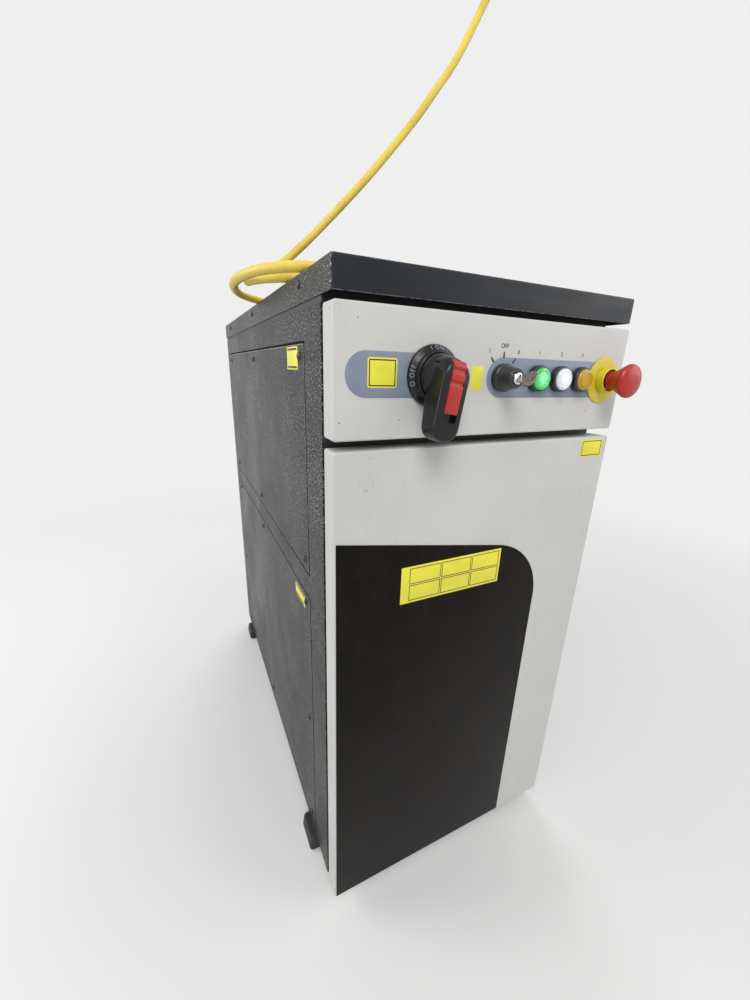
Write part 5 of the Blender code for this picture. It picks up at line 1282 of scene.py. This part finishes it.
def frames(name, boxes, width, material, place, lift, body="cabinet"):
    """Thin frames round boxes: each is a ring with a square section carried round a rectangle."""
    shells = []
    for low, high in boxes:
        outer = slab(low, high, 0.6)
        inner = inset(outer, width)
        loops = [(outer, lift), (outer, lift + FRAME_T), (inner, lift + FRAME_T), (inner, lift)]
        shells.append(np.stack([place(*o.T, np.full(len(o), h)) for o, h in loops], axis=1))
    dressed(skin(name, *shells, loop=True), body, material)


field("left_band_sign", *SIGN, sticker_yellow, on_front, 3.0, lift=INK_HIGH)
frames("left_band_sign_frame", [((-172.9, 789.0), (-143.0, 814.9))], 1.2, sticker_line, on_front, 2 * INK_HIGH)
field("handle_sign", *LOCK_SIGN, sticker_yellow, on_front)
field("door_corner_sticker", *CORNER_STICKER, sticker_yellow, on_front, body="door")
frames("door_corner_frame", [((159.0, 697.0), (198.0, 718.0))], 1.1, sticker_line, on_front, INK_HIGH, "door")
field("film_label", LABEL_LOW, LABEL_HIGH, sticker_yellow, on_front, lift=FILM_OUT, body="door")
first = LABEL_LOW + (LABEL_STRIP + LABEL_EDGE, LABEL_EDGE)
cell = (LABEL_HIGH - LABEL_EDGE - first) / (3, 2)
corners = [first + cell * (i, j) for i in range(3) for j in range(2)]
cells = [(corner + CELL_GAP, corner + cell - CELL_GAP) for corner in corners]
frames("film_label_frames", cells, 1.0, sticker_line, on_front, FILM_OUT + INK_HIGH, "door")
for name, low, high in SIDE_STICKERS:
    field(name, low, high, sticker_yellow, on_left)
    for row, z in (("top", high[1] - 4.2), ("base", low[1] + 1.6)):
        line = (low[0] + 4, z), (high[0] - 4, z + 2.6)
        field(f"{name}_{row}_line", *line, sticker_line, on_left, 0.4, lift=INK_HIGH)
print("stickers: 2 on the side, 2 on the door, 2 on the panel; label cells:", len(cells))

# %% Ticks and plain numerals
TICK_R, TICK_HALF_L, TICK_HALF_W = 25.0, 3.4, 1.15
TICK_ANGLES = (-40.0, 0.0, 40.0)
LAMP_MARK_Z = CONTROL_Z + 29.0
WORDS = (("key_off", "OFF", KEY[0], KEY[1] + 34.5, 6.6), ("key_one", "I", KEY[0] - 21.5, KEY[1] + 28.5, 6.4),
         ("key_two", "II", KEY[0] + 21.5, KEY[1] + 28.5, 6.4), ("lamp_one", "1", START[0], LAMP_MARK_Z, 6.4),
         ("lamp_two", "2", WHITE[0], LAMP_MARK_Z, 6.4), ("lamp_three", "3", AMBER[0], LAMP_MARK_Z, 6.4))


def tick_plate(angle):
    """Short radial bar at an angle from the top of the key switch."""
    t = math.radians(angle)
    across, away = np.array([math.cos(t), -math.sin(t)]), np.array([math.sin(t), math.cos(t)])
    corners = [(TICK_R + out * TICK_HALF_L) * away + side * TICK_HALF_W * across
               for out, side in ((-1, -1), (-1, 1), (1, 1), (1, -1))]
    return plate(np.array(corners) + KEY, INK_HIGH, INK_HIGH + 0.05, 0.01, on_front)


def on_panel(x0, z0):
    """Places a text on the panel's face, its letters as thick as the print."""
    return lambda x, y, z: at(x0 + x, -(INK_LOW + (z + LETTER_T / 2) * 0.3), z0 + y)


dressed(skin("key_ticks", *map(tick_plate, TICK_ANGLES)), "cabinet", black_ink_and_keyway_shade)
for name, words, x, z, size in WORDS:
    dressed(lettering(name, words, size, on_panel(x, z), bold=0.14), "cabinet", black_ink_and_keyway_shade)
print("words:", [row[1] for row in WORDS])

# %% [markdown]
# ## The gaps of the access panels
# The flush panels sit in their windows with a thin gap, which shows only as shade. A black frame over the gap
# paints that shade, and a pale frame on the panel's own edge paints the highlight of its folded rim. Seen at a
# low angle these two lines are all that shows of the panel. Both are thin frames round the panel's box.

# %% Painted gap shade and rim highlights
GAP_SHADE_W, GAP_SHADE_OUT = 3.0, 2.3
RIM_HIGHLIGHT_W, RIM_HIGHLIGHT_IN = 0.9, 0.7
for side, place in zip(SIDES, (on_left, on_right)):
    for part in ("lower", "upper"):
        low, high = (corner[1:] for corner in box_mm(f"access_panel_{part}_{side}"))
        gap, rim = (low - GAP_SHADE_OUT, high + GAP_SHADE_OUT), (low + RIM_HIGHLIGHT_IN, high - RIM_HIGHLIGHT_IN)
        # Black frame: painted shade over the gap.
        frames(f"panel_gap_shade_{part}_{side}", [gap], GAP_SHADE_W, gap_shade_black, place, INK_LOW)
        # Pale frame: painted highlight on the panel's rim.
        frames(f"panel_rim_highlight_{part}_{side}", [rim], RIM_HIGHLIGHT_W, painted_rim_highlight, place, INK_LOW)
print("gap_shade_frames and rims on", len(SIDES), "sides")

# %% [markdown]
# ## Screws
# The access panels, the lid and the rear panel are held by black button-head screws. One profile makes a head
# with its socket, and one array of places carries it to every hole, so a whole panel's screws are one object.

# %% Screws
SCREW = [(0.3, -3.0), (2.5, -3.0), (2.5, 0.06), (4.9, 0.06), (4.9, 0.5), (4.5, 1.3), (3.5, 2.1), (2.2, 2.5),
         (1.75, 2.5), (1.55, 2.3), (1.5, 1.1), (0.3, 1.0)]
PANEL_Y, LID_Y = (118.2, 436.0, 753.8), (108.0, 414.0, 720.0)
PANEL_Z = {"lower": (57.2, 483.3), "upper": (551.8, 817.4)}
MIDDLE_Z, LID_Z = 270.25, 891.4
REAR_X, REAR_Z = 198.5, (72.2, 327.3, 582.5, 837.6)
PANEL_X, LID_X = -box_mm("access_panel_upper_left")[0][0], box_mm("lid")[1][0]


def screws(name, places, direction, size=1.0, material=steel_black):
    """The same lathe at every place: rings are computed once at the origin and carried to the places."""
    rings = spun(eased(SCREW, 0.25, 2) * size, direction=direction, sides=28)
    heads = carried(rings, at(*np.asarray(places, float).T))
    dressed(skin(name, *heads), "cabinet", material, slot="black_plastic")


for side, sign in zip(SIDES, (-1, 1)):
    places = {part: [(sign * PANEL_X, y, z) for z in rows for y in PANEL_Y] for part, rows in PANEL_Z.items()}
    places["lower"] += [(sign * PANEL_X, y, MIDDLE_Z) for y in PANEL_Y[::2]]
    for part in places:
        screws(f"{part}_panel_screws_{side}", places[part], (sign, 0, 0))
    screws(f"lid_screws_{side}", [(sign * LID_X, y, LID_Z) for y in LID_Y], (sign, 0, 0))
screws("rear_panel_screws", [(sign * REAR_X, DEPTH, z) for sign in (-1, 1) for z in REAR_Z], (0, 1, 0))
print("screws:", 2 * (sum(map(len, places.values())) + len(LID_Y)) + 2 * len(REAR_Z))

# %% [markdown]
# ## Behind the door and on the rear panel
# With the door open, the fronts of the modules show. Each is fixed by four captive screws and breathes through
# a row of slots, which are dark plates a tenth of a millimetre thick here: painted shade where the openings
# are.
# On the rear panel the signal sockets get their insulators and pins, and their plate gets its screws.

# %% Module fronts
MODULE_FRONT = 75.0
SLOT_STEP, SLOT_COUNT = 11.0, 17
SLOT_HALF = np.array([2.0, 15.0])
SLOT_ROUND = 4.0 / 2.2
EAR_INSET = 9.0


def on_module(a, b, height):
    """a is x, b is z, and height is out of the modules' fronts."""
    return at(a, MODULE_FRONT - height, b)


for name in MODULES:
    low, high = box_mm(name)
    half, z0, z1 = high[0] - EAR_INSET, low[2] + EAR_INSET, high[2] - EAR_INSET
    ears = [(x, MODULE_FRONT, z) for x in (-half, half) for z in (z0, z1)]
    screws(f"{name}_screws", ears, (0, -1, 0), size=0.8, material=zinc)
    middles = [np.array([(k - (SLOT_COUNT - 1) / 2) * SLOT_STEP, (z0 + z1) / 2]) for k in range(SLOT_COUNT)]
    # Dark plates that paint the shade inside the vent slots.
    slot_shades = [plate(slab(m - SLOT_HALF, m + SLOT_HALF, SLOT_ROUND), INK_LOW, INK_HIGH, 0.02, on_module)
             for m in middles]
    dressed(skin(f"{name}_slots", *slot_shades), "cabinet", gap_shade_black, slot="black_plastic")
print("module fronts with", SLOT_COUNT, "slots each")

# %% Signal sockets
PLATE_X, _, PLATE_Z = sum(box_mm("interface_sockets")) / 2
SOCKET_GAP, SOCKET_R, PIN_RING, PINS = 32.0, 6.7, 3.6, 5
INSULATOR = [(0.4, 2.6), (SOCKET_R, 2.6), (SOCKET_R, 7.4), (SOCKET_R - 0.6, 8.0), (0.4, 8.0)]
PIN = [(0.2, 7.8), (0.75, 7.8), (0.75, 9.6), (0.45, 10.0), (0.2, 10.0)]
PLATE_SCREWS = [(PLATE_X + a, DEPTH + 2 + FIT, PLATE_Z + b) for a in (-46, 46) for b in (-16, 16)]
insulators, pins = [], []
for x in (PLATE_X - SOCKET_GAP, PLATE_X, PLATE_X + SOCKET_GAP):
    insulators.append(spun(INSULATOR, (x, DEPTH, PLATE_Z), (0, 1, 0), 40))
    for t in np.arange(PINS) * 2 * math.pi / PINS:
        centre = (x + PIN_RING * math.cos(t), DEPTH, PLATE_Z + PIN_RING * math.sin(t))
        pins.append(spun(PIN, centre, (0, 1, 0), 12))
dressed(skin("socket_insulators", *insulators), "cabinet", black_plastic)
dressed(skin("socket_pins", *pins), "cabinet", brass)
screws("socket_plate_screws", PLATE_SCREWS, (0, 1, 0), size=0.5)
print("sockets:", len(insulators), "with", len(pins), "pins")
